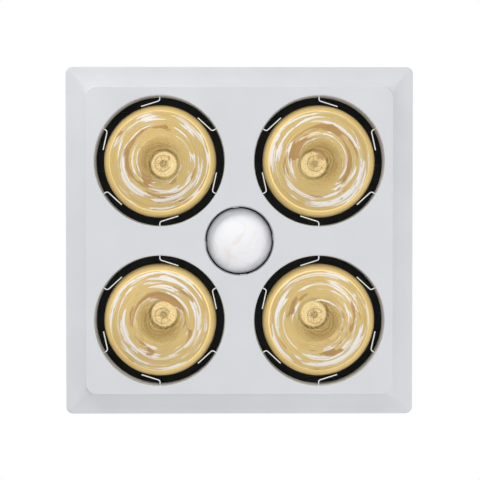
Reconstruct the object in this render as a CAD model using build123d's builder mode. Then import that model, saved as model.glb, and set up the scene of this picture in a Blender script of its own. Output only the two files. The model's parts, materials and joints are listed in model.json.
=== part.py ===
from build123d import *
import math
import os

os.makedirs("parts", exist_ok=True)

# Recessed ceiling heater: four infrared lamps and a light in a square fascia, a steel box above the
# ceiling, and a ducted extractor fan on top of the box. Z = 0 is the ceiling, +Z points up into the
# roof, and the origin is the centre of the four ceiling screws. Lengths are in millimetres.

# Shared values
overrun = 2.0
fit = 0.15
slack = 0.3
sheet = 1.2
origin = (0, 0)

# Layout of the lamps
lamp_pitch = 176.0
lamp_places = {
    "front_left": (-lamp_pitch / 2, -lamp_pitch / 2),
    "front_right": (lamp_pitch / 2, -lamp_pitch / 2),
    "back_left": (-lamp_pitch / 2, lamp_pitch / 2),
    "back_right": (lamp_pitch / 2, lamp_pitch / 2),
}

# Fascia
fascia_side = 385.0
fascia_corner = 8.0
fascia_depth = 18.0
rim_height = 5.0
cove_width = 23.5
flat_corner = 12.0
mitre_corner = 0.6
fascia_wall = 2.5
cove_turn = 75
cove_step = 15
cove_fade = 6
lamp_opening_r = 72.0
light_opening_r = 38.5
tube_wall = 2.0
tube_height = 20.0
tube_draft = 1.0
lip_r = 1.2
light_lip_r = 1.2
post_r = 4.0
post_height = 39.5
post_chamfer = 1.2
post_from_wall = 14.8
rib_height = 8.0
flat_half = fascia_side / 2 - cove_width
back_z = fascia_wall - fascia_depth

# Guard wires
wire_r = 0.8
wire_z = -9.0
wire_tail = 8.0
wire_bend = 2.75
wire_count = 6
wire_corner_r = 67.0
wire_end_r = 63.9
wire_sweep = 18.7
light_wire_r = 0.45
light_wire_tail = 5.0
light_wire_bend = 0.7
light_wire_count = 4
light_wire_corner_r = 37.7
light_wire_end_r = 37.6
light_wire_sweep = 10
light_wire_turn = -11

# Infrared lamps
heat_r = 62.5
heat_drop = 28.0
heat_length = 178.0
heat_dome_r = 118.0
heat_shoulder_r = 15.5
heat_bowl_r = 101.0
heat_neck_r = 19.0
heat_throat = 12.0
heat_glass = 1.0

# Centre light
light_r = 36.4
light_drop = 20.0
light_length = 115.0
light_dome_r = 52.0
light_shoulder_r = 16.0
light_bowl_r = 62.0
light_neck_r = 16.5
light_throat = 5.0
light_glass = 0.8

# Screw caps of the lamps
cap_r = 13.1
cap_wall = 0.6
cap_skirt = 7.0
cap_height = 30.0
thread_pitch = 3.6
thread_turns = 4
thread_depth = 0.7
cap_button_r = 4.6
cap_button_height = 2.4
cap_cone = 5.0

# Filament mounts
stem_r = 4.5
stem_flare = 2.0
coil_r = 0.8
lead_wire_r = 0.5
heat_stem = 62.0
heat_coil_drop = 14.0
heat_coil_ring = 9.0
light_stem = 26.0
light_coil_drop = 9.0
light_coil_ring = 7.0
coil_sweep = 300

# Lampholders
holder_r = 20.5
holder_bore_r = 15.0
holder_below = 29.0
holder_above = 14.8
holder_bore_above = 2.0
holder_base_r = 27.0
holder_base = 8.0
holder_edge = 1.0
holder_screw_reach = 23.7
shell_wall = 1.0
contact_r = 4.0

# Heights that follow from the lamps
heat_end = heat_length - heat_drop
light_end = light_length - light_drop
panel_under = heat_end + holder_above
housing_height = panel_under + sheet
strap_z = light_end + holder_above

# Housing
housing_side = 332.0
housing_corner = 34.0
flange_width = 20.0
mount_x = 358.0
mount_y = 240.0
mount_hole_r = 2.6
inlet_r = 50.0
housing_inner = housing_side - 2 * sheet
post_reach = housing_inner / 2 - post_from_wall
post_places = [(post_reach, 0), (0, post_reach), (-post_reach, 0), (0, -post_reach)]

# Heat shield
shield_z = 62.0
shield_sheet = 1.0
shield_flange = 14.0
shield_flange_length = 220.0
shield_hole_r = 48.0
shield_light_r = 44.0
shield_screw_pitch = 120.0

# Strap that carries the centre lampholder
strap_half = 58.0
strap_sheet = 1.5
strap_width = 30.0
strap_foot = 14.0

# Sheet screws: shank and head of each kind
screw_r = 1.75
screw_head_r = 3.0
screw_head = 1.8
screw_play = 0.05

# Clips that hold the fascia posts
clip_sheet = 0.8
clip_width = 24.0
clip_leg = 24.0
clip_z = 10.0
clip_nose = 9.0
clip_play = 0.15
rivet_r = 1.6
rivet_head_r = 3.0
rivet_head = 0.8
rivet_pitch = 14.0

# Extractor fan: volute, cover and impeller
impeller_r = 62.0
volute_clear = 7.0
volute_step = 10.0
outlet_width = 65.0
outlet_reach = 118.0
scroll_wall = 2.0
scroll_height = 56.0
scroll_flange = 8.0
scroll_inlet_r = 46.0
inlet_lip = 3.0
boss_r = 4.0
boss_hole_r = 1.8
cover_sheet = 1.5
cover_hole_r = 10.0
ear_width = 10.0
ear_sheet = 3.0
blade_ring = 12.0
blade_count = 36
blade_sheet = 0.9
blade_margin = 0.4
blade_lean = 9.0
impeller_gap = 4.0
impeller_height = 42.0
ring_height = 2.0
plate_sheet = 2.0
hub_r = 8.0
dish_r = 34.0
dish_depth = 14.0

# Fan motor
shaft_r = 3.0
shaft_play = 0.04
grommet_height = 6.0
grommet_r = 6.0
grommet_reach = 42.0
bracket_sheet = 1.5
bracket_width = 24.0
bracket_length = 100.0
bush_r = 5.5
bush_length = 7.0
cup_wall = 2.0
stack_gap = 3.0
stack_height = 20.0
stack_width = 60.0
stack_front = 28.0
stack_back = 48.0
stack_screw_reach = 26.0
window_near = 9.0
window_far = 22.0
window_start = 22.0
window_end = 40.0
rotor_r = 15.6
air_gap = 0.4
coil_over = 6.5
coil_play = 0.4
bridge_height = 8.0
bridge_half = 20.0
long_screw_r = 2.0
long_head_r = 3.6
long_head = 2.6
nut_r = 3.8
nut_height = 3.0

# Duct adaptor and backdraught damper
duct_wall = 2.0
spigot_r = 49.0
spigot_length = 42.0
spigot_rise = 22.0
collar_length = 30.0
taper_length = 25.0
adaptor_flange = 2.0
seat_width = 4.0
seat_depth = 3.0
pin_r = 1.5
pin_play = 0.06
knuckle_r = 2.8
flap_sheet = 1.0
flap_side_gap = 1.2
flap_tip_gap = 2.0
hinge_top_gap = 1.2

# Terminal box
box_length = 90.0
box_width = 58.0
box_height = 40.0
box_wall = 1.5
box_from_edge = 4.0
box_post = 7.0
block_length = 60.0
block_width = 12.0
block_height = 16.0
block_ways = 6
way_r = 1.9
way_screw_r = 1.6
gland_r = 10.0
gland_bore_r = 5.2
gland_nut_r = 13.0
gland_nut = 5.0
gland_dome = 14.0
gland_place_share = 0.14
gromm_r = 7.0
gromm_bore_r = 5.0
gromm_lip = 1.8

# Internal leads
lamp_lead_r = 1.2
motor_lead_r = 2.0
lead_bend = 4.0
lane_bend = 16.0
lane_start_share = 0.75
motor_bend = 8.0


def save(piece, name):
    """Label one finished piece and write its file."""
    piece.part.label = name
    export_step(piece.part, f"parts/{name}.step")


def square_prism(side, corner, low, high):
    """Upright square prism with rounded corners between two heights."""
    with BuildPart() as prism:
        with BuildSketch(Plane.XY.offset(low)):
            RectangleRounded(side, side, corner)
        extrude(amount=high - low)
    return prism.part


def chamfered_prism(side, corner, low, high):
    """Upright square prism with its corners cut off between two heights."""
    with BuildPart() as prism:
        with BuildSketch(Plane.XY.offset(low)) as plan:
            Rectangle(side, side)
            chamfer(plan.vertices(), length=corner)
        extrude(amount=high - low)
    return prism.part


def cove_body(inset):
    """Fascia form: a flat face inside a hollow cove, mitred at the corners, inset by a wall."""
    full = math.radians(cove_turn)
    with BuildPart() as body:
        for angle in range(0, cove_turn + 1, cove_step):
            turn = math.radians(angle)
            spread = (math.cos(turn) - math.cos(full)) / (1 - math.cos(full))
            half = fascia_side / 2 - inset - cove_width * spread
            height = inset - fascia_depth + (fascia_depth - rim_height) * math.sin(turn) / math.sin(full)
            corner = mitre_corner + (flat_corner - mitre_corner) * math.cos(turn) ** cove_fade
            with BuildSketch(Plane.XY.offset(height)):
                RectangleRounded(2 * half, 2 * half, corner)
        loft()
        with BuildSketch(Plane.XY.offset(inset - rim_height)):
            RectangleRounded(fascia_side - 2 * inset, fascia_side - 2 * inset, corner)
        extrude(amount=rim_height + overrun)
    return body.part


def opening_cutter(radius, lip):
    """Space inside a fascia opening: rounded at the face and drawn in a little towards the top."""
    face = -fascia_depth
    top = tube_height - fascia_depth + overrun
    with BuildPart() as space:
        with BuildSketch(Plane.XZ):
            with BuildLine():
                lip_arc = CenterArc((radius + lip, face + lip), lip, -90, -90)
                Polyline(lip_arc @ 1, (radius - tube_draft, top), (0, top), (0, face - overrun),
                         (radius + lip, face - overrun), lip_arc @ 0)
            make_face()
        revolve(axis=Axis.Z)
    return space.part


def bent_wire(route, radii, radius):
    """Round wire along straight runs joined by tangent arcs."""
    with BuildPart() as wire:
        with BuildLine() as path:
            FilletPolyline(*route, radius=radii)
        with BuildSketch(Plane(origin=path.line @ 0, z_dir=path.line % 0)):
            Circle(radius)
        sweep(path=path.line)
    return wire.part


def guard_wires(place, hand, first_turn, count, sizes):
    """Ring of bent wires that starts outside an opening's tube and ends close to its lamp."""
    leg_r, corner_r, end_r, sweep_angle, tail, bend, radius = sizes
    with BuildPart() as ring:
        turn = math.radians(sweep_angle) * hand
        end = (end_r * math.cos(turn), end_r * math.sin(turn), wire_z)
        route = [(leg_r, 0, wire_z + tail), (leg_r, 0, wire_z), (corner_r, 0, wire_z), end]
        wire = bent_wire(route, [2 * radius, bend], radius)
        with Locations(place):
            with PolarLocations(0, count, start_angle=first_turn):
                add(wire)
    return ring


def envelope(bulb_r, tip, dome_r, shoulder_r, bowl_r, neck_r, throat, mouth_r, mouth_z):
    """Space inside one surface of a reflector lamp: dome, rolled shoulder, bowl and neck."""
    dome_z = tip + dome_r
    rise = math.sqrt((dome_r - shoulder_r) ** 2 - (bulb_r - shoulder_r) ** 2)
    wide_z = dome_z - rise
    lean = math.degrees(math.atan2(bulb_r - shoulder_r, rise))
    bowl_x = bulb_r - bowl_r
    bowl_turn = math.degrees(math.acos((neck_r - bowl_x) / bowl_r))
    neck_z = wide_z + bowl_r * math.sin(math.radians(bowl_turn))
    with BuildPart() as space:
        with BuildSketch(Plane.XZ) as half:
            with BuildLine() as outline:
                CenterArc((0, dome_z), dome_r, -90, lean)
                CenterArc((bulb_r - shoulder_r, wide_z), shoulder_r, lean - 90, 90 - lean)
                CenterArc((bowl_x, wide_z), bowl_r, 0, bowl_turn)
                Polyline(outline.line.edges()[-1] @ 1, (neck_r, neck_z + throat),
                         (mouth_r, mouth_z - cap_skirt), (mouth_r, mouth_z), (0, mouth_z), (0, tip))
            make_face()
            fillet(half.vertices().sort_by_distance((neck_r, neck_z))[0], throat / 2)
        revolve(axis=Axis.Z)
    return space.part


def lamp_glass(bulb_r, tip, dome_r, shoulder_r, bowl_r, neck_r, throat, wall, end):
    """Hollow glass envelope, open at the mouth that the cap closes."""
    mouth_r = cap_r - cap_wall - fit
    mouth_z = end - cap_height + cap_skirt - fit
    outer = envelope(bulb_r, tip, dome_r, shoulder_r, bowl_r, neck_r, throat, mouth_r, mouth_z)
    inner = envelope(bulb_r - wall, tip + wall, dome_r - wall, shoulder_r - wall, bowl_r - wall,
                     neck_r - wall, throat, mouth_r - wall, mouth_z)
    with BuildPart() as glass:
        add(outer)
        add(inner, mode=Mode.SUBTRACT)
    return glass.part


def screw_cap(end):
    """Screw cap of a lamp: skirt over the neck, rounded thread, insulator cone and contact button."""
    low = end - cap_height
    skirt_top = low + cap_skirt
    thread_top = skirt_top + thread_pitch * thread_turns
    cone_low = end - cap_button_height - cap_cone
    with BuildPart() as cap:
        with BuildSketch(Plane.XZ):
            with BuildLine():
                Polyline((0, skirt_top), (cap_r - cap_wall, skirt_top), (cap_r - cap_wall, low),
                         (cap_r, low), (cap_r, skirt_top))
                for turn in range(thread_turns):
                    foot = skirt_top + turn * thread_pitch
                    ThreePointArc((cap_r, foot), (cap_r - thread_depth, foot + thread_pitch / 2),
                                  (cap_r, foot + thread_pitch))
                Polyline((cap_r, thread_top), (cap_r - thread_depth, cone_low),
                         (cap_button_r, end - cap_button_height), (cap_button_r, end), (0, end),
                         (0, skirt_top))
            make_face()
        revolve(axis=Axis.Z)
    return cap.part


def filament_mount(end, neck_r, wall, stem_length, ring_drop, ring_r):
    """Glass stem with its flare, two lead wires and a coiled filament on a ring."""
    flare_z = end - cap_height + cap_skirt - fit - stem_flare
    tip = flare_z - stem_length
    ring_z = tip - ring_drop
    flare_r = cap_r - cap_wall - wall - 2 * fit
    with BuildPart() as mount:
        with BuildSketch(Plane.XZ):
            with BuildLine():
                Polyline((0, tip), (stem_r, tip), (stem_r, flare_z), (flare_r, flare_z + stem_flare),
                         (0, flare_z + stem_flare), (0, tip))
            make_face()
        revolve(axis=Axis.Z)
        start = math.radians((360 - coil_sweep) / 2)
        for side in (1, -1):
            foot = (ring_r * math.cos(start), side * ring_r * math.sin(start), ring_z)
            with BuildLine() as lead:
                Line((stem_r / 2, side * stem_r / 2, tip + stem_r), foot)
            with BuildSketch(Plane(origin=lead.line @ 0, z_dir=lead.line % 0)):
                Circle(lead_wire_r)
            sweep(path=lead.line)
        with BuildLine(Plane.XY.offset(ring_z)) as ring:
            CenterArc((0, 0), ring_r, math.degrees(start), coil_sweep)
        with BuildSketch(Plane(origin=ring.line @ 0, z_dir=ring.line % 0)):
            Circle(coil_r)
        sweep(path=ring.line)
    return mount.part


def lampholder(contact_z):
    """Porcelain lampholder: round body with a bore for the shell, on a wider screwed base."""
    low = contact_z - holder_below
    back = contact_z + holder_above
    with BuildPart() as holder:
        with BuildSketch(Plane.XY.offset(low)):
            Circle(holder_r)
        extrude(amount=back - low)
        chamfer(holder.edges().group_by(Axis.Z)[0], length=holder_edge)
        with BuildSketch(Plane.XY.offset(back - holder_base)):
            Circle(holder_base_r)
        extrude(amount=holder_base)
        with BuildSketch(Plane.XY.offset(low)):
            Circle(holder_bore_r)
        extrude(amount=holder_below + holder_bore_above, mode=Mode.SUBTRACT)
        with BuildSketch(Plane.XY.offset(back)):
            with PolarLocations(holder_screw_reach, 2):
                Circle(screw_r + screw_play)
        extrude(amount=-holder_base - overrun, mode=Mode.SUBTRACT)
    return holder.part


def holder_shell(contact_z):
    """Threaded shell of a lampholder: a cup with a hole for the contact."""
    low = contact_z - holder_below + holder_edge
    high = contact_z + holder_bore_above
    with BuildPart() as shell:
        with BuildSketch(Plane.XY.offset(low)):
            Circle(holder_bore_r - fit)
        extrude(amount=high - low)
        with BuildSketch(Plane.XY.offset(low)):
            Circle(holder_bore_r - fit - shell_wall)
        extrude(amount=high - low - shell_wall, mode=Mode.SUBTRACT)
        with BuildSketch(Plane.XY.offset(low)):
            Circle(contact_r + shell_wall)
        extrude(amount=high - low, mode=Mode.SUBTRACT)
    return shell.part


def pan_screw(radius, head_r, head, length):
    """Pan-head screw along -Z, with the underside of its head at the origin."""
    with BuildPart() as screw:
        with BuildSketch(Plane.XY.offset(-length)):
            Circle(radius)
        extrude(amount=length)
        with BuildSketch():
            Circle(head_r)
        extrude(amount=head)
        fillet(screw.edges().group_by(Axis.Z)[-1], head / 2)
        with BuildSketch(Plane.XY.offset(head)):
            Rectangle(head_r, head / 3)
            Rectangle(head / 3, head_r)
        extrude(amount=-head / 2, mode=Mode.SUBTRACT)
    return screw.part


# Fascia: coved shell, five opening tubes, four clip posts and stiffening ribs
with BuildPart() as fascia:
    add(cove_body(0))
    add(square_prism(fascia_side, fascia_corner, -fascia_depth, 0), mode=Mode.INTERSECT)
    add(cove_body(fascia_wall), mode=Mode.SUBTRACT)
    with BuildSketch(Plane.XY.offset(back_z)):
        with Locations(*lamp_places.values()):
            Circle(lamp_opening_r + tube_wall)
        Circle(light_opening_r + tube_wall)
    extrude(amount=tube_height - fascia_wall)
    with BuildSketch(Plane.XY.offset(back_z)):
        with Locations(*post_places):
            Circle(post_r)
    extrude(amount=post_height)
    chamfer(fascia.edges().group_by(Axis.Z)[-1], length=post_chamfer)
    with BuildSketch(Plane.XY.offset(back_z)):
        for x, y in post_places:
            with Locations((x / 2, y / 2)):
                Rectangle(max(abs(x), tube_wall), max(abs(y), tube_wall))
    extrude(amount=rib_height)
    with Locations(*lamp_places.values()):
        add(opening_cutter(lamp_opening_r, lip_r), mode=Mode.SUBTRACT)
    add(opening_cutter(light_opening_r, light_lip_r), mode=Mode.SUBTRACT)
    slot_low = wire_z - wire_r - fit
    slot_height = tube_height - fascia_depth - slot_low + overrun
    for place in lamp_places.values():
        with BuildSketch(Plane.XY.offset(slot_low)):
            with Locations(place):
                with PolarLocations(lamp_opening_r + tube_wall / 2, wire_count, start_angle=-90):
                    Rectangle(tube_wall + 2 * overrun, 2 * (wire_r + fit))
        extrude(amount=slot_height, mode=Mode.SUBTRACT)
    with BuildSketch(Plane.XY.offset(slot_low)):
        with PolarLocations(light_opening_r + tube_wall / 2, light_wire_count, start_angle=light_wire_turn):
            Rectangle(tube_wall + 2 * overrun, 2 * (light_wire_r + fit))
    extrude(amount=slot_height, mode=Mode.SUBTRACT)
save(fascia, "fascia")

# Guard wires, turned the other way in diagonal pairs as mirror images
lamp_wire_sizes = (lamp_opening_r + tube_wall + wire_r + fit, wire_corner_r, wire_end_r, wire_sweep,
                   wire_tail, wire_bend, wire_r)
for name, (x, y) in lamp_places.items():
    hand = -math.copysign(1, x * y)
    save(guard_wires((x, y), hand, -90, wire_count, lamp_wire_sizes), f"guard_wires_{name}")
light_wire_sizes = (light_opening_r + tube_wall + light_wire_r + fit, light_wire_corner_r, light_wire_end_r,
                    light_wire_sweep, light_wire_tail, light_wire_bend, light_wire_r)
save(guard_wires(origin, 1, light_wire_turn, light_wire_count, light_wire_sizes), "guard_wires_centre")

# Infrared lamps
heat_glass_form = lamp_glass(heat_r, -heat_drop, heat_dome_r, heat_shoulder_r, heat_bowl_r, heat_neck_r,
                             heat_throat, heat_glass, heat_end)
heat_cap_form = screw_cap(heat_end)
heat_filament_form = filament_mount(heat_end, heat_neck_r, heat_glass, heat_stem, heat_coil_drop,
                                    heat_coil_ring)
for name, place in lamp_places.items():
    forms = {"glass": heat_glass_form, "cap": heat_cap_form, "filament": heat_filament_form}
    for part_name, form in forms.items():
        with BuildPart() as lamp_piece:
            with Locations(place):
                add(form)
        save(lamp_piece, f"heat_lamp_{part_name}_{name}")

# Centre light
with BuildPart() as light_glass_piece:
    add(lamp_glass(light_r, -light_drop, light_dome_r, light_shoulder_r, light_bowl_r, light_neck_r,
                   light_throat, light_glass, light_end))
save(light_glass_piece, "centre_lamp_glass")
with BuildPart() as light_cap:
    add(screw_cap(light_end))
save(light_cap, "centre_lamp_cap")
with BuildPart() as light_filament:
    add(filament_mount(light_end, light_neck_r, light_glass, light_stem, light_coil_drop, light_coil_ring))
save(light_filament, "centre_lamp_filament")

# Terminal box and grommet places, which the housing is pierced for
box_x = box_from_edge + box_width / 2 - housing_side / 2
gromm_x = box_x + box_width / 4
block_x = box_x - box_width / 8
box_hole_x = box_width / 2 - box_post
box_hole_y = box_length / 2 - box_post
box_holes = [(box_x + box_hole_x, -box_hole_y), (box_x - box_hole_x, box_hole_y)]
box_post_places = [(box_x - box_hole_x, -box_hole_y), (box_x + box_hole_x, box_hole_y)]

# Volute plan sizes, which the screw places follow
tongue_r = impeller_r + volute_clear
half_step = volute_step / 2
first_r = tongue_r + half_step
second_r = first_r + volute_step
third_r = second_r + volute_step
outlet_high = third_r + half_step
outlet_low = outlet_high - outlet_width
outlet_mid = (outlet_high + outlet_low) / 2
flange_reach = scroll_wall + scroll_flange / 2
scroll_screw_places = [
    (tongue_r + flange_reach, -half_step),
    (-half_step, half_step - second_r - flange_reach),
    (half_step - third_r - flange_reach, half_step),
    (half_step, outlet_high + flange_reach),
]
shield_screw_places = [(side, along) for side in (0, 90, 180, 270)
                       for along in (-shield_screw_pitch / 2, shield_screw_pitch / 2)]
strap_tip = strap_half + strap_foot
strap_feet = [(side * (strap_half + strap_foot / 2), 0) for side in (1, -1)]
rivet_z = clip_z + clip_leg - clip_nose / 2

# Housing: folded steel box, open below, with a flange against the ceiling
with BuildPart() as housing:
    with BuildSketch(Plane.XY.offset(-sheet)):
        Rectangle(housing_side + 2 * flange_width, housing_side + 2 * flange_width)
    extrude(amount=sheet)
    fillet(housing.edges().filter_by(Axis.Z), radius=fascia_corner)
    add(chamfered_prism(housing_side, housing_corner, 0, housing_height))
    add(chamfered_prism(housing_inner, housing_corner - sheet, -sheet - overrun, panel_under),
        mode=Mode.SUBTRACT)
    with BuildSketch(Plane.XY.offset(-sheet)):
        with GridLocations(mount_x, mount_y, 2, 2):
            Circle(mount_hole_r)
    extrude(amount=sheet, mode=Mode.SUBTRACT)
    with BuildSketch(Plane.XY.offset(panel_under)):
        Circle(inlet_r)
        with Locations((gromm_x, 0)):
            Circle(gromm_r)
        for place in lamp_places.values():
            with Locations(place):
                with PolarLocations(holder_screw_reach, 2):
                    Circle(screw_r + screw_play)
        with Locations(*strap_feet, *scroll_screw_places, *box_holes):
            Circle(screw_r + screw_play)
    extrude(amount=sheet, mode=Mode.SUBTRACT)
    for turn, along in shield_screw_places:
        side_plane = Plane.YZ.rotated((0, 0, turn))
        with BuildSketch(side_plane.offset(housing_side / 2 - overrun)):
            with Locations((along, shield_z + shield_flange / 2)):
                Circle(screw_r + screw_play)
        extrude(amount=2 * overrun, mode=Mode.SUBTRACT)
    for turn in (0, 90, 180, 270):
        side_plane = Plane.YZ.rotated((0, 0, turn))
        with BuildSketch(side_plane.offset(housing_side / 2 - overrun)):
            with Locations((-rivet_pitch / 2, rivet_z), (rivet_pitch / 2, rivet_z)):
                Circle(rivet_r + screw_play)
        extrude(amount=2 * overrun, mode=Mode.SUBTRACT)
save(housing, "housing")

# Heat shield: black plate with collars of air round the lamps, screwed to the side walls
with BuildPart() as heat_shield:
    add(chamfered_prism(housing_inner - 2 * fit, housing_corner - sheet, shield_z, shield_z + shield_sheet))
    for turn in (0, 90, 180, 270):
        with BuildSketch(Plane.XY.rotated((0, 0, turn)).offset(shield_z)):
            with Locations((housing_inner / 2 - shield_sheet / 2, 0)):
                Rectangle(shield_sheet, shield_flange_length)
        extrude(amount=shield_flange)
    with BuildSketch(Plane.XY.offset(shield_z)):
        with Locations(*lamp_places.values()):
            Circle(shield_hole_r)
        Circle(shield_light_r)
    extrude(amount=shield_sheet, mode=Mode.SUBTRACT)
    for turn, along in shield_screw_places:
        side_plane = Plane.YZ.rotated((0, 0, turn))
        with BuildSketch(side_plane.offset(housing_inner / 2 - overrun)):
            with Locations((along, shield_z + shield_flange / 2)):
                Circle(screw_r + screw_play)
        extrude(amount=2 * overrun, mode=Mode.SUBTRACT)
save(heat_shield, "heat_shield")

with BuildPart() as shield_screws:
    side_screw = pan_screw(screw_r, screw_head_r, screw_head, sheet + shield_sheet + overrun)
    for turn, along in shield_screw_places:
        with Locations(Plane.YZ.rotated((0, 0, turn)).offset(housing_side / 2)):
            with Locations((along, shield_z + shield_flange / 2)):
                add(side_screw)
save(shield_screws, "shield_screws")

# Lampholders with their shells and contacts
for name, place in lamp_places.items():
    with BuildPart() as holder_piece:
        with Locations(place):
            add(lampholder(heat_end))
    save(holder_piece, f"lampholder_{name}")
with BuildPart() as centre_holder:
    add(lampholder(light_end))
save(centre_holder, "centre_lampholder")

with BuildPart() as shells:
    with Locations(*lamp_places.values()):
        add(holder_shell(heat_end))
    add(holder_shell(light_end))
save(shells, "lampholder_shells")

with BuildPart() as contacts:
    for contact_z, places in ((heat_end, list(lamp_places.values())), (light_end, [origin])):
        with BuildSketch(Plane.XY.offset(contact_z + slack)):
            with Locations(*places):
                Circle(contact_r)
        extrude(amount=holder_bore_above - slack)
save(contacts, "lampholder_contacts")

# Strap that hangs the centre lampholder below the fan inlet
with BuildPart() as strap:
    with BuildSketch(Plane.XZ.offset(-strap_width / 2)):
        with BuildLine():
            Polyline((-strap_tip, panel_under), (-strap_tip, panel_under - strap_sheet),
                     (-strap_half, panel_under - strap_sheet), (-strap_half, strap_z), (strap_half, strap_z),
                     (strap_half, panel_under - strap_sheet), (strap_tip, panel_under - strap_sheet),
                     (strap_tip, panel_under), (strap_half - strap_sheet, panel_under),
                     (strap_half - strap_sheet, strap_z + strap_sheet),
                     (strap_sheet - strap_half, strap_z + strap_sheet),
                     (strap_sheet - strap_half, panel_under), (-strap_tip, panel_under))
        make_face()
    extrude(amount=strap_width)
    with BuildSketch(Plane.XY.offset(strap_z)):
        with PolarLocations(holder_screw_reach, 2):
            Circle(screw_r + screw_play)
    extrude(amount=strap_sheet, mode=Mode.SUBTRACT)
    with BuildSketch(Plane.XY.offset(panel_under)):
        with Locations(*strap_feet):
            Circle(screw_r + screw_play)
    extrude(amount=-strap_sheet, mode=Mode.SUBTRACT)
save(strap, "centre_holder_bracket")

# Screws in the top panel: lampholders and strap from below, volute and terminal box from above
with BuildPart() as panel_screws:
    holder_head_r = holder_base_r - holder_screw_reach - fit
    holder_screw = pan_screw(screw_r, holder_head_r, screw_head, holder_base + sheet)
    for place in lamp_places.values():
        with Locations(Plane(origin=(*place, panel_under - holder_base), z_dir=(0, 0, -1))):
            with PolarLocations(holder_screw_reach, 2):
                add(holder_screw)
    with Locations(Plane(origin=(0, 0, strap_z - holder_base), z_dir=(0, 0, -1))):
        with PolarLocations(holder_screw_reach, 2):
            add(holder_screw)
    with Locations(Plane(origin=(0, 0, panel_under - strap_sheet), z_dir=(0, 0, -1))):
        with Locations(*strap_feet):
            add(pan_screw(screw_r, screw_head_r, screw_head, strap_sheet + sheet))
    with Locations(Plane.XY.offset(housing_height + scroll_wall)):
        with Locations(*scroll_screw_places):
            add(pan_screw(screw_r, screw_head_r, screw_head, scroll_wall + 2 * sheet))
save(panel_screws, "panel_screws")


def scroll_region(grow):
    """Plan of the volute and its outlet, grown outwards by a wall or a flange."""
    tongue_turn = math.degrees(math.asin((outlet_low - grow + half_step) / (tongue_r + grow)))
    with BuildSketch() as plan:
        with BuildLine() as outline:
            CenterArc((half_step, half_step), third_r + grow, 90, 90)
            CenterArc((-half_step, half_step), second_r + grow, 180, 90)
            CenterArc((-half_step, -half_step), first_r + grow, 270, 90)
            tongue = CenterArc((0, -half_step), tongue_r + grow, 0, tongue_turn)
            Polyline(tongue @ 1, (outlet_reach, outlet_low - grow), (outlet_reach, outlet_high + grow),
                     (half_step, outlet_high + grow))
        make_face()
    return plan.sketch


# Volute: base plate with an inlet lip, spiral wall, cover bosses and ears at the outlet
scroll_low = housing_height
scroll_top = scroll_low + scroll_height
diagonal = math.sqrt(2) / 2
boss_reach = scroll_wall + boss_r - fit
boss_places = [
    (diagonal * (first_r + boss_reach) - half_step, -diagonal * (first_r + boss_reach) - half_step),
    (-diagonal * (second_r + boss_reach) - half_step, half_step - diagonal * (second_r + boss_reach)),
    (half_step - diagonal * (third_r + boss_reach), diagonal * (third_r + boss_reach) + half_step),
    (outlet_reach - ear_width - boss_r, outlet_high + boss_reach),
    (outlet_reach - ear_width - boss_r, outlet_low - boss_reach),
]
grommet_places = [(grommet_reach, 0), (-grommet_reach, 0)]
stack_screw_places = [(stack_screw_reach, 0), (-stack_screw_reach, 0)]
ear_places = [(outlet_reach - ear_sheet / 2, outlet_low - scroll_wall - ear_width / 2),
              (outlet_reach - ear_sheet / 2, outlet_high + scroll_wall + ear_width / 2)]
with BuildPart() as fan_scroll:
    with BuildSketch(Plane.XY.offset(scroll_low)):
        add(scroll_region(scroll_wall + scroll_flange))
        with Locations((outlet_reach + outlet_width, outlet_mid)):
            Rectangle(2 * outlet_width, 2 * outlet_width, mode=Mode.SUBTRACT)
    extrude(amount=scroll_wall)
    with BuildSketch(Plane.XY.offset(scroll_low)):
        add(scroll_region(scroll_wall))
        with Locations(*boss_places):
            Circle(boss_r)
        with Locations(*ear_places):
            Rectangle(ear_sheet, ear_width)
    extrude(amount=scroll_height)
    with BuildSketch(Plane.XY.offset(scroll_low + scroll_wall)):
        add(scroll_region(0))
    extrude(amount=scroll_height, mode=Mode.SUBTRACT)
    with BuildSketch(Plane.XY.offset(scroll_low)):
        Circle(scroll_inlet_r + scroll_wall)
    extrude(amount=scroll_wall + inlet_lip)
    with BuildSketch(Plane.XY.offset(scroll_low)):
        Circle(scroll_inlet_r)
        with Locations(*scroll_screw_places):
            Circle(screw_r + screw_play)
    extrude(amount=scroll_wall + inlet_lip, mode=Mode.SUBTRACT)
    with BuildSketch(Plane.XY.offset(scroll_top)):
        with Locations(*boss_places):
            Circle(boss_hole_r)
    extrude(amount=-scroll_height / 3, mode=Mode.SUBTRACT)
    ear_mid = scroll_low + scroll_height / 2
    with BuildSketch(Plane.YZ.offset(outlet_reach)):
        with Locations((outlet_mid, ear_mid)):
            with GridLocations(outlet_width + 2 * scroll_wall + ear_width, scroll_height / 2, 2, 2):
                Circle(screw_r + screw_play)
    extrude(amount=-ear_sheet, mode=Mode.SUBTRACT)
save(fan_scroll, "fan_scroll")

with BuildPart() as fan_cover:
    with BuildSketch(Plane.XY.offset(scroll_top)):
        add(scroll_region(scroll_wall))
        with Locations(*boss_places):
            Circle(boss_r)
        Circle(cover_hole_r, mode=Mode.SUBTRACT)
        with Locations(*boss_places, *grommet_places):
            Circle(screw_r + screw_play, mode=Mode.SUBTRACT)
    extrude(amount=cover_sheet)
save(fan_cover, "fan_cover")
cover_top = scroll_top + cover_sheet

with BuildPart() as fan_screws:
    with Locations(Plane.XY.offset(cover_top)):
        with Locations(*boss_places):
            add(pan_screw(screw_r, screw_head_r, screw_head, cover_sheet + scroll_height / 4))
save(fan_screws, "fan_screws")


def blade_tip(reach):
    """End of a blade, swept on from its root in the direction of turning."""
    lean = math.radians(blade_lean)
    return (reach * math.cos(lean), -reach * math.sin(lean))


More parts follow.
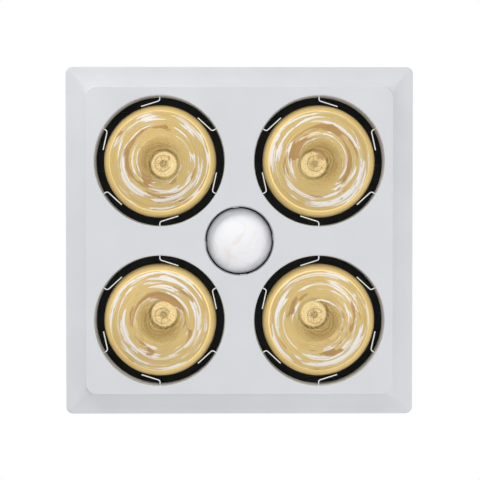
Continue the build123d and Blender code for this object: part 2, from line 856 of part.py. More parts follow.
# Impeller: forward-curved blades between an open ring and a dished plate with a hub
impeller_low = scroll_low + scroll_wall + impeller_gap
impeller_top = impeller_low + impeller_height
dish_z = impeller_top - dish_depth
hub_low = dish_z - 2 * plate_sheet
hub_bore_r = shaft_r + shaft_play
with BuildPart() as impeller:
    with BuildSketch(Plane.XY.offset(impeller_low)):
        Circle(impeller_r)
        Circle(impeller_r - blade_ring, mode=Mode.SUBTRACT)
    extrude(amount=ring_height)
    with BuildSketch(Plane.XZ):
        with BuildLine():
            Polyline((hub_bore_r, hub_low), (hub_r, hub_low), (hub_r, dish_z - plate_sheet),
                     (dish_r, impeller_top - plate_sheet), (impeller_r, impeller_top - plate_sheet),
                     (impeller_r, impeller_top), (dish_r, impeller_top), (hub_r, dish_z),
                     (hub_bore_r, dish_z), (hub_bore_r, hub_low))
        make_face()
    revolve(axis=Axis.Z)
    root = impeller_r - blade_ring + blade_margin
    tip_reach = impeller_r - blade_margin
    bow_r = (root + tip_reach) / 2
    with BuildSketch(Plane.XY.offset(impeller_low)):
        with PolarLocations(0, blade_count):
            with BuildLine() as blade:
                outer = ThreePointArc((root, 0), (bow_r, blade_sheet), blade_tip(tip_reach))
                inner = ThreePointArc((root, -blade_sheet), (bow_r - blade_sheet / 2, -blade_sheet / 2),
                                      blade_tip(tip_reach - blade_sheet))
                Line(outer @ 0, inner @ 0)
                Line(outer @ 1, inner @ 1)
            make_face()
    extrude(amount=impeller_height - plate_sheet / 2)
save(impeller, "impeller")

# Motor stack heights
bracket_low = cover_top + grommet_height
bracket_top = bracket_low + bracket_sheet
stack_low = bracket_top + stack_gap
stack_high = stack_low + stack_height
bridge_z = stack_high + bracket_sheet + bridge_height
shaft_top = bridge_z + bracket_sheet + bush_length - overrun
lower_bush_low = bracket_top - bush_length + overrun / 2

with BuildPart() as motor_shaft:
    with BuildSketch(Plane.XY.offset(hub_low)):
        Circle(shaft_r)
    extrude(amount=shaft_top - hub_low)
    chamfer(motor_shaft.edges().group_by(Axis.Z)[-1], length=shaft_r / 5)
save(motor_shaft, "motor_shaft")

with BuildPart() as motor_rotor:
    with BuildSketch(Plane.XY.offset(stack_low)):
        Circle(rotor_r)
        Circle(shaft_r + shaft_play, mode=Mode.SUBTRACT)
    extrude(amount=stack_height)
    chamfer(motor_rotor.edges().filter_by(GeomType.CIRCLE).sort_by(SortBy.RADIUS)[-2:], length=air_gap)
save(motor_rotor, "motor_rotor")

with BuildPart() as motor_stator:
    with BuildSketch(Plane.XY.offset(stack_low)):
        with Locations((0, (stack_back - stack_front) / 2)):
            Rectangle(stack_width, stack_back + stack_front)
        Circle(rotor_r + air_gap, mode=Mode.SUBTRACT)
        window_mid = (window_near + window_far) / 2
        window_y = (window_start + window_end) / 2
        with Locations((window_mid, window_y), (-window_mid, window_y)):
            Rectangle(window_far - window_near, window_end - window_start, mode=Mode.SUBTRACT)
        with Locations(*stack_screw_places):
            Circle(long_screw_r + screw_play, mode=Mode.SUBTRACT)
    extrude(amount=stack_height)
save(motor_stator, "motor_stator")

with BuildPart() as motor_coil:
    coil_length = 2 * window_far - 2 * coil_play
    coil_depth = window_end - window_start - 2 * coil_play
    with BuildSketch(Plane.XZ.offset(-window_start - coil_play)):
        with Locations((0, (stack_low + stack_high) / 2)):
            RectangleRounded(coil_length, stack_height + 2 * coil_over, coil_over)
            Rectangle(2 * window_near + 2 * coil_play, stack_height + 2 * coil_play, mode=Mode.SUBTRACT)
    extrude(amount=-coil_depth)
save(motor_coil, "motor_coil")

with BuildPart() as bracket_lower:
    with BuildSketch(Plane.XY.offset(bracket_low)):
        SlotOverall(bracket_length, bracket_width)
    extrude(amount=bracket_sheet)
    with BuildSketch(Plane.XY.offset(lower_bush_low)):
        Circle(bush_r + fit + cup_wall)
    extrude(amount=bush_length)
    with BuildSketch(Plane.XY.offset(lower_bush_low)):
        Circle(bush_r + fit / 3)
    extrude(amount=bush_length, mode=Mode.SUBTRACT)
    with BuildSketch(Plane.XY.offset(bracket_low)):
        with Locations(*stack_screw_places, *grommet_places):
            Circle(long_screw_r + screw_play)
    extrude(amount=bracket_sheet, mode=Mode.SUBTRACT)
    with Locations(Plane.XY.offset(bracket_top)):
        with Locations(*stack_screw_places):
            Cylinder(nut_r, stack_gap, align=(Align.CENTER, Align.CENTER, Align.MIN))
            Cylinder(long_screw_r + screw_play, stack_gap, align=(Align.CENTER, Align.CENTER, Align.MIN),
                     mode=Mode.SUBTRACT)
save(bracket_lower, "motor_bracket_lower")

with BuildPart() as bracket_upper:
    foot_tip = stack_width / 2
    foot_top = stack_high + bracket_sheet
    bridge_top = bridge_z + bracket_sheet
    with BuildSketch(Plane.XZ.offset(-bracket_width / 3)):
        with BuildLine():
            Polyline((-foot_tip, stack_high), (bracket_sheet - bridge_half, stack_high),
                     (bracket_sheet - bridge_half, bridge_z), (bridge_half - bracket_sheet, bridge_z),
                     (bridge_half - bracket_sheet, stack_high), (foot_tip, stack_high), (foot_tip, foot_top),
                     (bridge_half, foot_top), (bridge_half, bridge_top), (-bridge_half, bridge_top),
                     (-bridge_half, foot_top), (-foot_tip, foot_top), (-foot_tip, stack_high))
        make_face()
    extrude(amount=2 * bracket_width / 3)
    with BuildSketch(Plane.XY.offset(bridge_z)):
        Circle(bush_r + fit + cup_wall)
    extrude(amount=bush_length)
    with BuildSketch(Plane.XY.offset(bridge_z)):
        Circle(bush_r + fit / 3)
    extrude(amount=bush_length, mode=Mode.SUBTRACT)
    with BuildSketch(Plane.XY.offset(stack_high)):
        with Locations(*stack_screw_places):
            Circle(long_screw_r + screw_play)
    extrude(amount=bracket_sheet, mode=Mode.SUBTRACT)
save(bracket_upper, "motor_bracket_upper")

with BuildPart() as bearings:
    for low in (lower_bush_low, bridge_z):
        with BuildSketch(Plane.XY.offset(low)):
            Circle(bush_r)
            Circle(shaft_r + shaft_play, mode=Mode.SUBTRACT)
        extrude(amount=bush_length)
save(bearings, "motor_bearings")

with BuildPart() as grommets:
    with BuildSketch(Plane.XY.offset(cover_top)):
        with Locations(*grommet_places):
            Circle(grommet_r)
            Circle(screw_r + screw_play, mode=Mode.SUBTRACT)
    extrude(amount=grommet_height)
    fillet(grommets.edges().filter_by(GeomType.CIRCLE).sort_by(SortBy.RADIUS)[-4:], radius=screw_r / 2)
save(grommets, "motor_grommets")

with BuildPart() as motor_screws:
    long_length = bracket_sheet + stack_height + stack_gap + bracket_sheet + nut_height
    with Locations(Plane.XY.offset(stack_high + bracket_sheet)):
        with Locations(*stack_screw_places):
            add(pan_screw(long_screw_r, long_head_r, long_head, long_length))
    with BuildSketch(Plane.XY.offset(bracket_low)):
        with Locations(*stack_screw_places):
            RegularPolygon(nut_r, 6)
    extrude(amount=-nut_height)
    with Locations(Plane.XY.offset(bracket_top)):
        with Locations(*grommet_places):
            add(pan_screw(screw_r, long_head_r, long_head, bracket_sheet + grommet_height + cover_sheet))
save(motor_screws, "motor_screws")

# Duct adaptor: seat frame, square collar, taper and round spigot
collar_low = scroll_low + scroll_wall
collar_high = scroll_top
collar_mid = (collar_low + collar_high) / 2
seat_end = outlet_reach + adaptor_flange + seat_depth
collar_end = outlet_reach + collar_length
spigot_start = collar_end + taper_length
spigot_end = spigot_start + spigot_length


def across(place):
    """Plane square to the duct at a distance along X, centred on the square collar."""
    return Plane(origin=(place, outlet_mid, collar_mid), x_dir=(0, 1, 0), z_dir=(1, 0, 0))


def duct_body(grow, radius, start, end):
    """Square collar grown by a wall, a taper, and a round spigot of one radius."""
    width = outlet_width + 2 * grow
    height = collar_high - collar_low + 2 * grow
    with BuildPart() as duct:
        with BuildSketch(across(start)):
            Rectangle(width, height)
        extrude(amount=collar_end - start)
        with BuildSketch(across(collar_end)):
            Rectangle(width, height)
        with BuildSketch(across(spigot_start)):
            with Locations((0, spigot_rise)):
                Circle(radius)
        loft()
        with BuildSketch(across(spigot_start)):
            with Locations((0, spigot_rise)):
                Circle(radius)
        extrude(amount=end - spigot_start)
    return duct.part


hinge_z = collar_high - hinge_top_gap - knuckle_r
hinge_x = seat_end + slack + flap_sheet / 2
with BuildPart() as adaptor:
    add(duct_body(duct_wall - fit, spigot_r, outlet_reach, spigot_end))
    ear_rise = collar_high - scroll_low
    with BuildSketch(Plane.YZ.offset(outlet_reach)):
        with Locations((outlet_mid, scroll_low + ear_rise / 2)):
            Rectangle(outlet_width + 2 * scroll_wall + 2 * ear_width, ear_rise - fit)
    extrude(amount=adaptor_flange)
    add(duct_body(0, spigot_r - duct_wall, seat_end, spigot_end + overrun), mode=Mode.SUBTRACT)
    with BuildSketch(across(outlet_reach)):
        Rectangle(outlet_width - 2 * seat_width, collar_high - collar_low - 2 * seat_width)
    extrude(amount=seat_end - outlet_reach, mode=Mode.SUBTRACT)
    relief_low = hinge_z - knuckle_r - slack
    with BuildSketch(Plane.YZ.offset(hinge_x - knuckle_r - slack)):
        with Locations((outlet_mid, (relief_low + collar_high) / 2)):
            Rectangle(outlet_width, collar_high - relief_low)
    extrude(amount=knuckle_r + slack, mode=Mode.SUBTRACT)
    with BuildSketch(Plane.YZ.offset(outlet_reach)):
        with Locations((outlet_mid, ear_mid)):
            with GridLocations(outlet_width + 2 * scroll_wall + ear_width, scroll_height / 2, 2, 2):
                Circle(screw_r + screw_play)
    extrude(amount=adaptor_flange, mode=Mode.SUBTRACT)
    with BuildSketch(Plane.XZ.offset(-outlet_high - overrun - duct_wall)):
        with Locations((hinge_x, hinge_z)):
            Circle(pin_r + screw_play)
    extrude(amount=outlet_width + 2 * duct_wall + 2 * overrun, mode=Mode.SUBTRACT)
save(adaptor, "duct_adaptor")

with BuildPart() as duct_screws:
    ear_centre = (outlet_reach + adaptor_flange, outlet_mid, ear_mid)
    with Locations(Plane(origin=ear_centre, x_dir=(0, 1, 0), z_dir=(1, 0, 0))):
        with GridLocations(outlet_width + 2 * scroll_wall + ear_width, scroll_height / 2, 2, 2):
            add(pan_screw(screw_r, screw_head_r, screw_head, adaptor_flange + ear_sheet + nut_height))
    with BuildSketch(Plane.YZ.offset(outlet_reach - ear_sheet)):
        with Locations((outlet_mid, ear_mid)):
            with GridLocations(outlet_width + 2 * scroll_wall + ear_width, scroll_height / 2, 2, 2):
                RegularPolygon(screw_head_r, 6)
    extrude(amount=-nut_height)
save(duct_screws, "duct_screws")

# Backdraught damper: a flap that hangs on a pin across the collar
with BuildPart() as damper_pin:
    with BuildSketch(Plane.XZ.offset(-outlet_high - duct_wall)):
        with Locations((hinge_x, hinge_z)):
            Circle(pin_r)
    extrude(amount=outlet_width + 2 * duct_wall)
save(damper_pin, "damper_pin")

with BuildPart() as damper_flap:
    flap_width = outlet_width - 2 * flap_side_gap
    with BuildSketch(Plane.XZ.offset(-outlet_high + flap_side_gap)):
        with Locations((hinge_x, hinge_z)):
            Circle(knuckle_r)
        with Locations((hinge_x, (hinge_z + collar_low + flap_tip_gap) / 2)):
            Rectangle(flap_sheet, hinge_z - collar_low - flap_tip_gap)
        with Locations((hinge_x, hinge_z)):
            Circle(pin_r + pin_play, mode=Mode.SUBTRACT)
    extrude(amount=flap_width)
save(damper_flap, "damper_flap")

# Terminal box on the top panel
box_floor = housing_height + box_wall
box_top = housing_height + box_height
gland_y = box_length * gland_place_share
gland_z = (box_floor + box_top) / 2
block_gap = block_length / block_ways
way_places = [(way - (block_ways - 1) / 2) * block_gap for way in range(block_ways)]
lead_gate = (box_x + box_width / 2, way_places[0], box_top - box_post - motor_lead_r)
with BuildPart() as terminal_box:
    with BuildSketch(Plane.XY.offset(housing_height)):
        with Locations((box_x, 0)):
            RectangleRounded(box_width, box_length, box_wall)
    extrude(amount=box_height)
    with BuildSketch(Plane.XY.offset(box_floor)):
        with Locations((box_x, 0)):
            Rectangle(box_width - 2 * box_wall, box_length - 2 * box_wall)
    extrude(amount=box_height, mode=Mode.SUBTRACT)
    with BuildSketch(Plane.XY.offset(housing_height)):
        with Locations(*box_post_places):
            Rectangle(box_post + 2 * box_wall, box_post + 2 * box_wall)
    extrude(amount=box_height)
    with BuildSketch(Plane.XY.offset(housing_height)):
        with Locations((gromm_x, 0)):
            Circle(gromm_r)
        with Locations(*box_holes):
            Circle(screw_r + screw_play)
    extrude(amount=box_wall, mode=Mode.SUBTRACT)
    with BuildSketch(Plane.XY.offset(box_top)):
        with Locations(*box_post_places):
            Circle(screw_r + screw_play)
    extrude(amount=-box_height / 2, mode=Mode.SUBTRACT)
    with BuildSketch(Plane.YZ.offset(box_x - box_width / 2)):
        with Locations((gland_y, gland_z)):
            Circle(gland_r + screw_play)
    extrude(amount=box_wall, mode=Mode.SUBTRACT)
    with BuildSketch(Plane.YZ.offset(lead_gate[0] - box_wall)):
        with Locations(lead_gate[1:]):
            Circle(motor_lead_r + fit)
    extrude(amount=box_wall, mode=Mode.SUBTRACT)
save(terminal_box, "terminal_box")

with BuildPart() as terminal_cover:
    with BuildSketch(Plane.XY.offset(box_top)):
        with Locations((box_x, 0)):
            RectangleRounded(box_width, box_length, box_wall)
        with Locations(*box_post_places):
            Circle(screw_r + screw_play, mode=Mode.SUBTRACT)
    extrude(amount=box_wall)
save(terminal_cover, "terminal_cover")

with BuildPart() as terminal_block:
    with BuildSketch(Plane.XY.offset(box_floor)):
        with Locations((block_x, 0)):
            Rectangle(block_width, block_length)
    extrude(amount=block_height)
    with BuildSketch(Plane.YZ.offset(block_x - block_width / 2)):
        with Locations((0, box_floor + block_height / 3)):
            with GridLocations(block_gap, block_height, block_ways, 1):
                Circle(way_r)
    extrude(amount=block_width, mode=Mode.SUBTRACT)
    with BuildSketch(Plane.XY.offset(box_floor + block_height)):
        with Locations((block_x, 0)):
            with GridLocations(block_width, block_gap, 1, block_ways):
                Circle(way_screw_r + screw_play)
    extrude(amount=-block_height / 2, mode=Mode.SUBTRACT)
save(terminal_block, "terminal_block")

with BuildPart() as terminal_screws:
    with Locations(Plane.XY.offset(box_top + box_wall)):
        with Locations(*box_post_places):
            add(pan_screw(screw_r, screw_head_r, screw_head, box_wall + box_height / 4))
    with Locations(Plane.XY.offset(box_floor)):
        with Locations(*box_holes):
            add(pan_screw(screw_r, screw_head_r, screw_head, box_wall + sheet))
    with BuildSketch(Plane.XY.offset(box_floor + block_height / 2 + slack)):
        with Locations((block_x, 0)):
            with GridLocations(block_width, block_gap, 1, block_ways):
                Circle(way_screw_r)
    extrude(amount=block_height / 3)
save(terminal_screws, "terminal_screws")

wall_x = box_x - box_width / 2
with BuildPart() as cable_gland:
    with BuildSketch(Plane.YZ.offset(wall_x + box_wall + gland_nut)):
        with Locations((gland_y, gland_z)):
            Circle(gland_r)
    extrude(amount=-box_wall - gland_nut - gland_nut)
    for start in (wall_x, wall_x + box_wall + gland_nut):
        with BuildSketch(Plane.YZ.offset(start)):
            with Locations((gland_y, gland_z)):
                RegularPolygon(gland_nut_r, 6)
        extrude(amount=-gland_nut)
    with BuildSketch(Plane.YZ.offset(wall_x - gland_nut)):
        with Locations((gland_y, gland_z)):
            Circle(gland_r + overrun / 2)
    extrude(amount=-gland_dome)
    fillet(cable_gland.faces().sort_by(Axis.X)[0].edges(), radius=gland_bore_r / 2)
    with BuildSketch(Plane.YZ.offset(wall_x + box_wall + gland_nut)):
        with Locations((gland_y, gland_z)):
            Circle(gland_bore_r)
    extrude(amount=-box_wall - 2 * gland_nut - gland_dome, mode=Mode.SUBTRACT)
save(cable_gland, "cable_gland")

# Rubber grommet through the top panel and the box floor
with BuildPart() as wiring_grommet:
    with BuildSketch(Plane.XY.offset(panel_under - gromm_lip)):
        with Locations((gromm_x, 0)):
            Circle(gromm_r + gromm_lip)
    extrude(amount=gromm_lip)
    with BuildSketch(Plane.XY.offset(panel_under)):
        with Locations((gromm_x, 0)):
            Circle(gromm_r - screw_play)
    extrude(amount=sheet + box_wall)
    with BuildSketch(Plane.XY.offset(box_floor)):
        with Locations((gromm_x, 0)):
            Circle(gromm_r + gromm_lip)
    extrude(amount=gromm_lip)
    with BuildSketch(Plane.XY.offset(panel_under - gromm_lip)):
        with Locations((gromm_x, 0)):
            Circle(gromm_bore_r)
    extrude(amount=2 * gromm_lip + sheet + box_wall, mode=Mode.SUBTRACT)
save(wiring_grommet, "wiring_grommet")

# Internal leads: one from the terminal block to each lampholder, one to the motor coil
lead_z = panel_under - gromm_lip - lead_bend
lead_start_x = block_x + block_width / 2
lead_high = box_floor + block_height / 3
lead_lane = (inlet_r + lamp_pitch / 2 - holder_base_r) / 2 + lamp_lead_r
bundle_r = gromm_bore_r - lamp_lead_r - 4 * fit
lead_end_r = holder_base_r + fit
strap_side = strap_half + strap_foot + 2 * lamp_lead_r
strap_lead_z = strap_z - lead_bend
lead_turns = {"front_right": -36, "front_left": -108, "strap": 180, "back_left": 108, "back_right": 36}
lead_ways = dict(zip(lead_turns, way_places[1:]))


def lead_drop(name):
    """Points of one lead from its way in the terminal block through the grommet to below the panel."""
    turn = math.radians(lead_turns[name])
    way = lead_ways[name]
    x = gromm_x + bundle_r * math.cos(turn)
    y = bundle_r * math.sin(turn)
    square = [(x, way, lead_high)] if abs(way) > block_gap else []
    return [(lead_start_x, way, lead_high)] + square + [(x, y, lead_high), (x, y, lead_z)]


def holder_edge_point(place, source):
    """Point beside a lampholder's base, on the side that a lead comes from."""
    away = math.hypot(source[0] - place[0], source[1] - place[1])
    reach = lead_end_r / away
    return (place[0] + (source[0] - place[0]) * reach, place[1] + (source[1] - place[1]) * reach, lead_z)


with BuildPart() as lamp_leads:
    for name, place in lamp_places.items():
        route = lead_drop(name)
        lane = []
        if place[0] > 0:
            lane_y = math.copysign(lead_lane, place[1])
            lane = [(-place[0] * lane_start_share, lane_y, lead_z), (place[0] * lane_start_share, lane_y, lead_z)]
        route += lane
        route.append(holder_edge_point(place, route[-1]))
        radii = [lead_bend] * (len(route) - 2)
        if lane:
            radii[-2] = lane_bend
        add(bent_wire(route, radii, lamp_lead_r))
    strap_route = lead_drop("strap") + [(-strap_side, 0, lead_z), (-strap_side, 0, strap_lead_z),
                                        (-lead_end_r, 0, strap_lead_z)]
    add(bent_wire(strap_route, [lead_bend] * 4, lamp_lead_r))
save(lamp_leads, "lamp_leads")

cover_lead_z = cover_top + motor_lead_r + slack
rise_x = (lead_gate[0] - third_r + half_step - scroll_wall) / 2
with BuildPart() as motor_lead:
    coil_side = -window_far + coil_play
    coil_y = (window_start + window_end) / 2
    coil_entry_z = stack_low - coil_over / 2
    route = [(lead_start_x, lead_gate[1], lead_high), (gromm_x, lead_gate[1], lead_high),
             (gromm_x + motor_bend / 4, lead_gate[1], lead_gate[2]), (rise_x, lead_gate[1], lead_gate[2]),
             (rise_x, lead_gate[1], cover_lead_z), (3 * coil_side, 2 * coil_y / 3, cover_lead_z),
             (3 * coil_side / 2, coil_y, coil_entry_z), (coil_side - fit, coil_y, coil_entry_z)]
    radii = [motor_bend / 2, motor_bend / 2, motor_bend / 2, motor_bend, motor_bend, motor_bend]
    add(bent_wire(route, radii, motor_lead_r))
save(motor_lead, "motor_lead")

# Spring clips on the side walls that grip the fascia posts, and their rivets
with BuildPart() as clips:
    wall_in = housing_inner / 2
    for turn in (0, 90, 180, 270):
        with BuildSketch(Plane.XY.rotated((0, 0, turn)).offset(clip_z)):
            with Locations((wall_in - clip_sheet / 2, 0)):
                Rectangle(clip_sheet, clip_width)
        extrude(amount=clip_leg)
        with BuildSketch(Plane.XY.rotated((0, 0, turn)).offset(clip_z)):
            with Locations(((wall_in + post_reach - clip_nose) / 2, 0)):
                Rectangle(wall_in - post_reach + clip_nose, clip_width)
            with Locations((post_reach, 0)):
                Circle(post_r + clip_play, mode=Mode.SUBTRACT)
        extrude(amount=clip_sheet)
        with BuildSketch(Plane.YZ.rotated((0, 0, turn)).offset(wall_in)):
            with Locations((-rivet_pitch / 2, rivet_z), (rivet_pitch / 2, rivet_z)):
                Circle(rivet_r + screw_play)
        extrude(amount=-clip_sheet, mode=Mode.SUBTRACT)
save(clips, "fascia_clips")

with BuildPart() as rivets:
    for turn in (0, 90, 180, 270):
        for side in (-rivet_pitch / 2, rivet_pitch / 2):
            for start, depth, radius in ((housing_side / 2, rivet_head, rivet_head_r),
                                         (housing_side / 2, -sheet - clip_sheet, rivet_r),
                                         (housing_inner / 2 - clip_sheet, -rivet_head, rivet_head_r)):
                with BuildSketch(Plane.YZ.rotated((0, 0, turn)).offset(start)):
                    with Locations((side, rivet_z)):
                        Circle(radius)
                extrude(amount=depth)
save(rivets, "clip_rivets")
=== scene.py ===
"""Bathroom ceiling heater seen from below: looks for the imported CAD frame. Lengths are in metres."""
import json
import math

import bpy
from mathutils import Matrix, Vector

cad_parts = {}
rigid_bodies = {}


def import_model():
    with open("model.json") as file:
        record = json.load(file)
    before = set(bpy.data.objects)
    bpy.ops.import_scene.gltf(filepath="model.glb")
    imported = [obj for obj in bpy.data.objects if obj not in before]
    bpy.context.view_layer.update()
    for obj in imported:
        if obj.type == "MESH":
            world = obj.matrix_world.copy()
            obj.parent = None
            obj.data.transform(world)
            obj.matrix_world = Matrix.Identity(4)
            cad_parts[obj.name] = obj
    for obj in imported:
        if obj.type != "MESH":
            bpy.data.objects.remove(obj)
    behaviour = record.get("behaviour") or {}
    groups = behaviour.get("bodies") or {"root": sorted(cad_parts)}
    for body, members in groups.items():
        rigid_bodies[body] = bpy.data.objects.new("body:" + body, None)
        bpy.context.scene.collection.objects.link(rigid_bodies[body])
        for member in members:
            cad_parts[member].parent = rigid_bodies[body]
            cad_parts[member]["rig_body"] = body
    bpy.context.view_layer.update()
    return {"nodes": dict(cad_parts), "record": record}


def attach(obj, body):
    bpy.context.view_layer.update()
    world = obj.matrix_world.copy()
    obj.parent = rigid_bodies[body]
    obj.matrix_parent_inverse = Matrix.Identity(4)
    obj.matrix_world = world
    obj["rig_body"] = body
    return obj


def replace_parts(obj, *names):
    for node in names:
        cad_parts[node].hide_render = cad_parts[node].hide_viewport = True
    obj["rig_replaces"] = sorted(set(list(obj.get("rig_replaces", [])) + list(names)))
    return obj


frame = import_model()
cad = frame["nodes"]
slot_of = {part["node"]: part["material_slot"] for part in frame["record"]["subparts"]}
mm = 0.001

# Lamp places on the real unit, and settings for the meshes
lamp_offset = 88 * mm
lamp_places = {
    "front_left": (-lamp_offset, -lamp_offset),
    "front_right": (lamp_offset, -lamp_offset),
    "back_left": (-lamp_offset, lamp_offset),
    "back_right": (lamp_offset, lamp_offset),
}
ring_steps = 96
soft_angle = math.radians(32)
weld = 0.001 * mm
cad_weld = 0.002 * mm
flat_angle = math.radians(0.2)
corner_angle = math.radians(50)


# Modelling helpers

def linked_object(name, data):
    """A new object of the scene that holds a mesh, curve, light or camera."""
    thing = bpy.data.objects.new(name, data)
    bpy.context.scene.collection.objects.link(thing)
    return thing


def deselect():
    """Object mode, with nothing selected."""
    if bpy.context.object and bpy.context.object.mode != "OBJECT":
        bpy.ops.object.mode_set(mode="OBJECT")
    bpy.ops.object.select_all(action="DESELECT")


def activate(piece):
    """Makes one piece the only selected and active object."""
    deselect()
    piece.select_set(True)
    bpy.context.view_layer.objects.active = piece


def apply_modifiers(piece):
    """Turns every modifier of a piece into mesh."""
    activate(piece)
    for modifier in list(piece.modifiers):
        bpy.ops.object.modifier_apply(modifier=modifier.name)


def settle(piece):
    """Puts a piece's place into its mesh, so that its object sits at the origin."""
    activate(piece)
    bpy.ops.object.transform_apply(location=True, rotation=True, scale=True)


def recalculate(piece):
    """Merges doubles and points every face outwards."""
    activate(piece)
    bpy.ops.object.mode_set(mode="EDIT")
    bpy.ops.mesh.select_all(action="SELECT")
    bpy.ops.mesh.remove_doubles(threshold=weld)
    bpy.ops.mesh.normals_make_consistent(inside=False)
    bpy.ops.object.mode_set(mode="OBJECT")


def turned(name, profile, closed_start=False, closed_end=False, steps=ring_steps):
    """A turned piece on the Z axis: one circle, extruded and resized ring by ring along its profile."""
    deselect()
    radius, height = profile[0]
    bpy.ops.mesh.primitive_circle_add(vertices=steps, radius=radius, location=(0, 0, height))
    piece = bpy.context.object
    piece.name = name
    bpy.ops.object.mode_set(mode="EDIT")
    bpy.ops.mesh.select_all(action="SELECT")
    if closed_start:
        bpy.ops.mesh.edge_face_add()
        bpy.ops.mesh.poke()
        bpy.ops.mesh.select_all(action="DESELECT")
        bpy.ops.mesh.select_non_manifold()
    for (near, start), (far, end) in zip(profile, profile[1:]):
        bpy.ops.mesh.extrude_edges_move(TRANSFORM_OT_translate={"value": (0, 0, end - start)})
        share = far / near
        bpy.ops.transform.resize(value=(share, share, 1), center_override=(0, 0, end))
    if closed_end:
        bpy.ops.mesh.edge_face_add()
        bpy.ops.mesh.poke()
    bpy.ops.object.mode_set(mode="OBJECT")
    settle(piece)
    recalculate(piece)
    return piece


def arc(centre, radius, start, end, steps):
    """Points of (radius, height) along an arc, from one angle to another in degrees."""
    turns = [math.radians(start + (end - start) * step / steps) for step in range(steps + 1)]
    return [(centre[0] + radius * math.cos(t), centre[1] + radius * math.sin(t)) for t in turns]


def shade_round(piece, angle=soft_angle):
    """Smooth shading over round faces, with flat faces left flat."""
    activate(piece)
    bpy.ops.object.shade_smooth_by_angle(angle=angle)
    even = piece.modifiers.new("even", "WEIGHTED_NORMAL")
    even.keep_sharp = True
    apply_modifiers(piece)


def placed_copy(piece, name, x, y):
    """A copy of a piece with its own mesh, moved over the ceiling."""
    copy = linked_object(name, piece.data.copy())
    copy.location = (x, y, 0)
    settle(copy)
    return copy


def joined(pieces, name):
    """Several meshes made one piece."""
    activate(pieces[0])
    for piece in pieces:
        piece.select_set(True)
    bpy.ops.object.join()
    bpy.context.object.name = name
    return bpy.context.object


def dress(piece, material, body, slot, *replaced):
    """Gives a piece its material, its body and the CAD nodes that it stands for; its slot argument is not
    used.
    """
    piece.data.materials.clear()
    piece.data.materials.append(material)
    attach(piece, body)
    if replaced:
        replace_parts(piece, *replaced)


# Material helpers

def add_node(tree, kind, inputs=None, **settings):
    """A node with its settings, its inputs linked or set by name."""
    node = tree.nodes.new(kind)
    for key, value in settings.items():
        setattr(node, key, value)
    for key, value in (inputs or {}).items():
        if isinstance(value, bpy.types.NodeSocket):
            tree.links.new(value, node.inputs[key])
        else:
            node.inputs[key].default_value = value
    return node


def math_node(tree, operation, *values):
    """The value of a Math node."""
    return add_node(tree, "ShaderNodeMath", dict(enumerate(values)), operation=operation).outputs[0]


def mix_colours(tree, factor, first, second):
    """The colour of a Mix node, whose colour sockets are found by number."""
    return add_node(tree, "ShaderNodeMix", {0: factor, 6: first, 7: second}, data_type="RGBA").outputs[2]


def spread(tree, value, low, high, start=0.0, end=1.0):
    """A value that goes from low to high while the given one goes from start to end."""
    node = add_node(tree, "ShaderNodeMapRange", {"Value": value, "From Min": start, "From Max": end,
                                                 "To Min": low, "To Max": high})
    return node.outputs["Result"]


def belt(tree, value, low, high, soft):
    """1 where a value lies from low to high, falling to 0 over soft on each side."""
    return math_node(tree, "MULTIPLY", spread(tree, value, 0, 1, low - soft, low),
                     spread(tree, value, 1, 0, high, high + soft))


def tint(red, green, blue):
    """A colour in screen values of 0 to 255, made linear."""
    shares = [value / 255 for value in (red, green, blue)]
    return (*[s / 12.92 if s <= 0.04045 else ((s + 0.055) / 1.055) ** 2.4 for s in shares], 1)


def new_material(name):
    """A material, its node tree, its shader and its Object coordinates."""
    material = bpy.data.materials.new(name)
    material.use_nodes = True
    tree = material.node_tree
    place = tree.nodes.new("ShaderNodeTexCoord").outputs["Object"]
    return material, tree, tree.nodes["Principled BSDF"], place


def new_group(name, inputs, outputs):
    """A node group with named sockets; gives the group, what comes in and what goes out."""
    group = bpy.data.node_groups.new(name, "ShaderNodeTree")
    for label, kind in inputs.items():
        group.interface.new_socket(label, in_out="INPUT", socket_type="NodeSocket" + kind)
    for label, kind in outputs.items():
        group.interface.new_socket(label, in_out="OUTPUT", socket_type="NodeSocket" + kind)
    given = group.nodes.new("NodeGroupInput").outputs
    result = group.nodes.new("NodeGroupOutput").inputs
    return group, given, result


def use_group(tree, group, **inputs):
    """A group placed in a material with its own values; gives its outputs."""
    return add_node(tree, "ShaderNodeGroup", inputs, node_tree=group).outputs


# Effects that several finishes share

dust_colour = tint(176, 170, 160)
scratch_colour = tint(235, 235, 232)
rings_per_pitch = 0.8
streaks_per_ring = 0.2
streaks_per_metre = 14


def mottle_group():
    """Slow change between two colours, in blotches of a given size."""
    group, given, result = new_group(
        "mottle", {"Place": "Vector", "Size": "Float", "Dark": "Color", "Light": "Color"},
        {"Colour": "Color"})
    scale = math_node(group, "DIVIDE", 1, given["Size"])
    noise = add_node(group, "ShaderNodeTexNoise", {"Vector": given["Place"], "Scale": scale, "Detail": 3})
    blotches = spread(group, noise.outputs["Fac"], 0, 1, 0.3, 0.7)
    group.links.new(mix_colours(group, blotches, given["Dark"], given["Light"]), result["Colour"])
    return group


def grain_group():
    """Fine moulded or cast grain: a height from 0 to 1."""
    group, given, result = new_group("grain", {"Place": "Vector", "Size": "Float"}, {"Height": "Float"})
    scale = math_node(group, "DIVIDE", 1, given["Size"])
    fine = add_node(group, "ShaderNodeTexNoise", {"Vector": given["Place"], "Scale": scale, "Detail": 2})
    cells = add_node(group, "ShaderNodeTexVoronoi", {"Vector": given["Place"], "Scale": scale})
    both = math_node(group, "MULTIPLY", fine.outputs["Fac"], cells.outputs["Distance"])
    group.links.new(both, result["Height"])
    return group


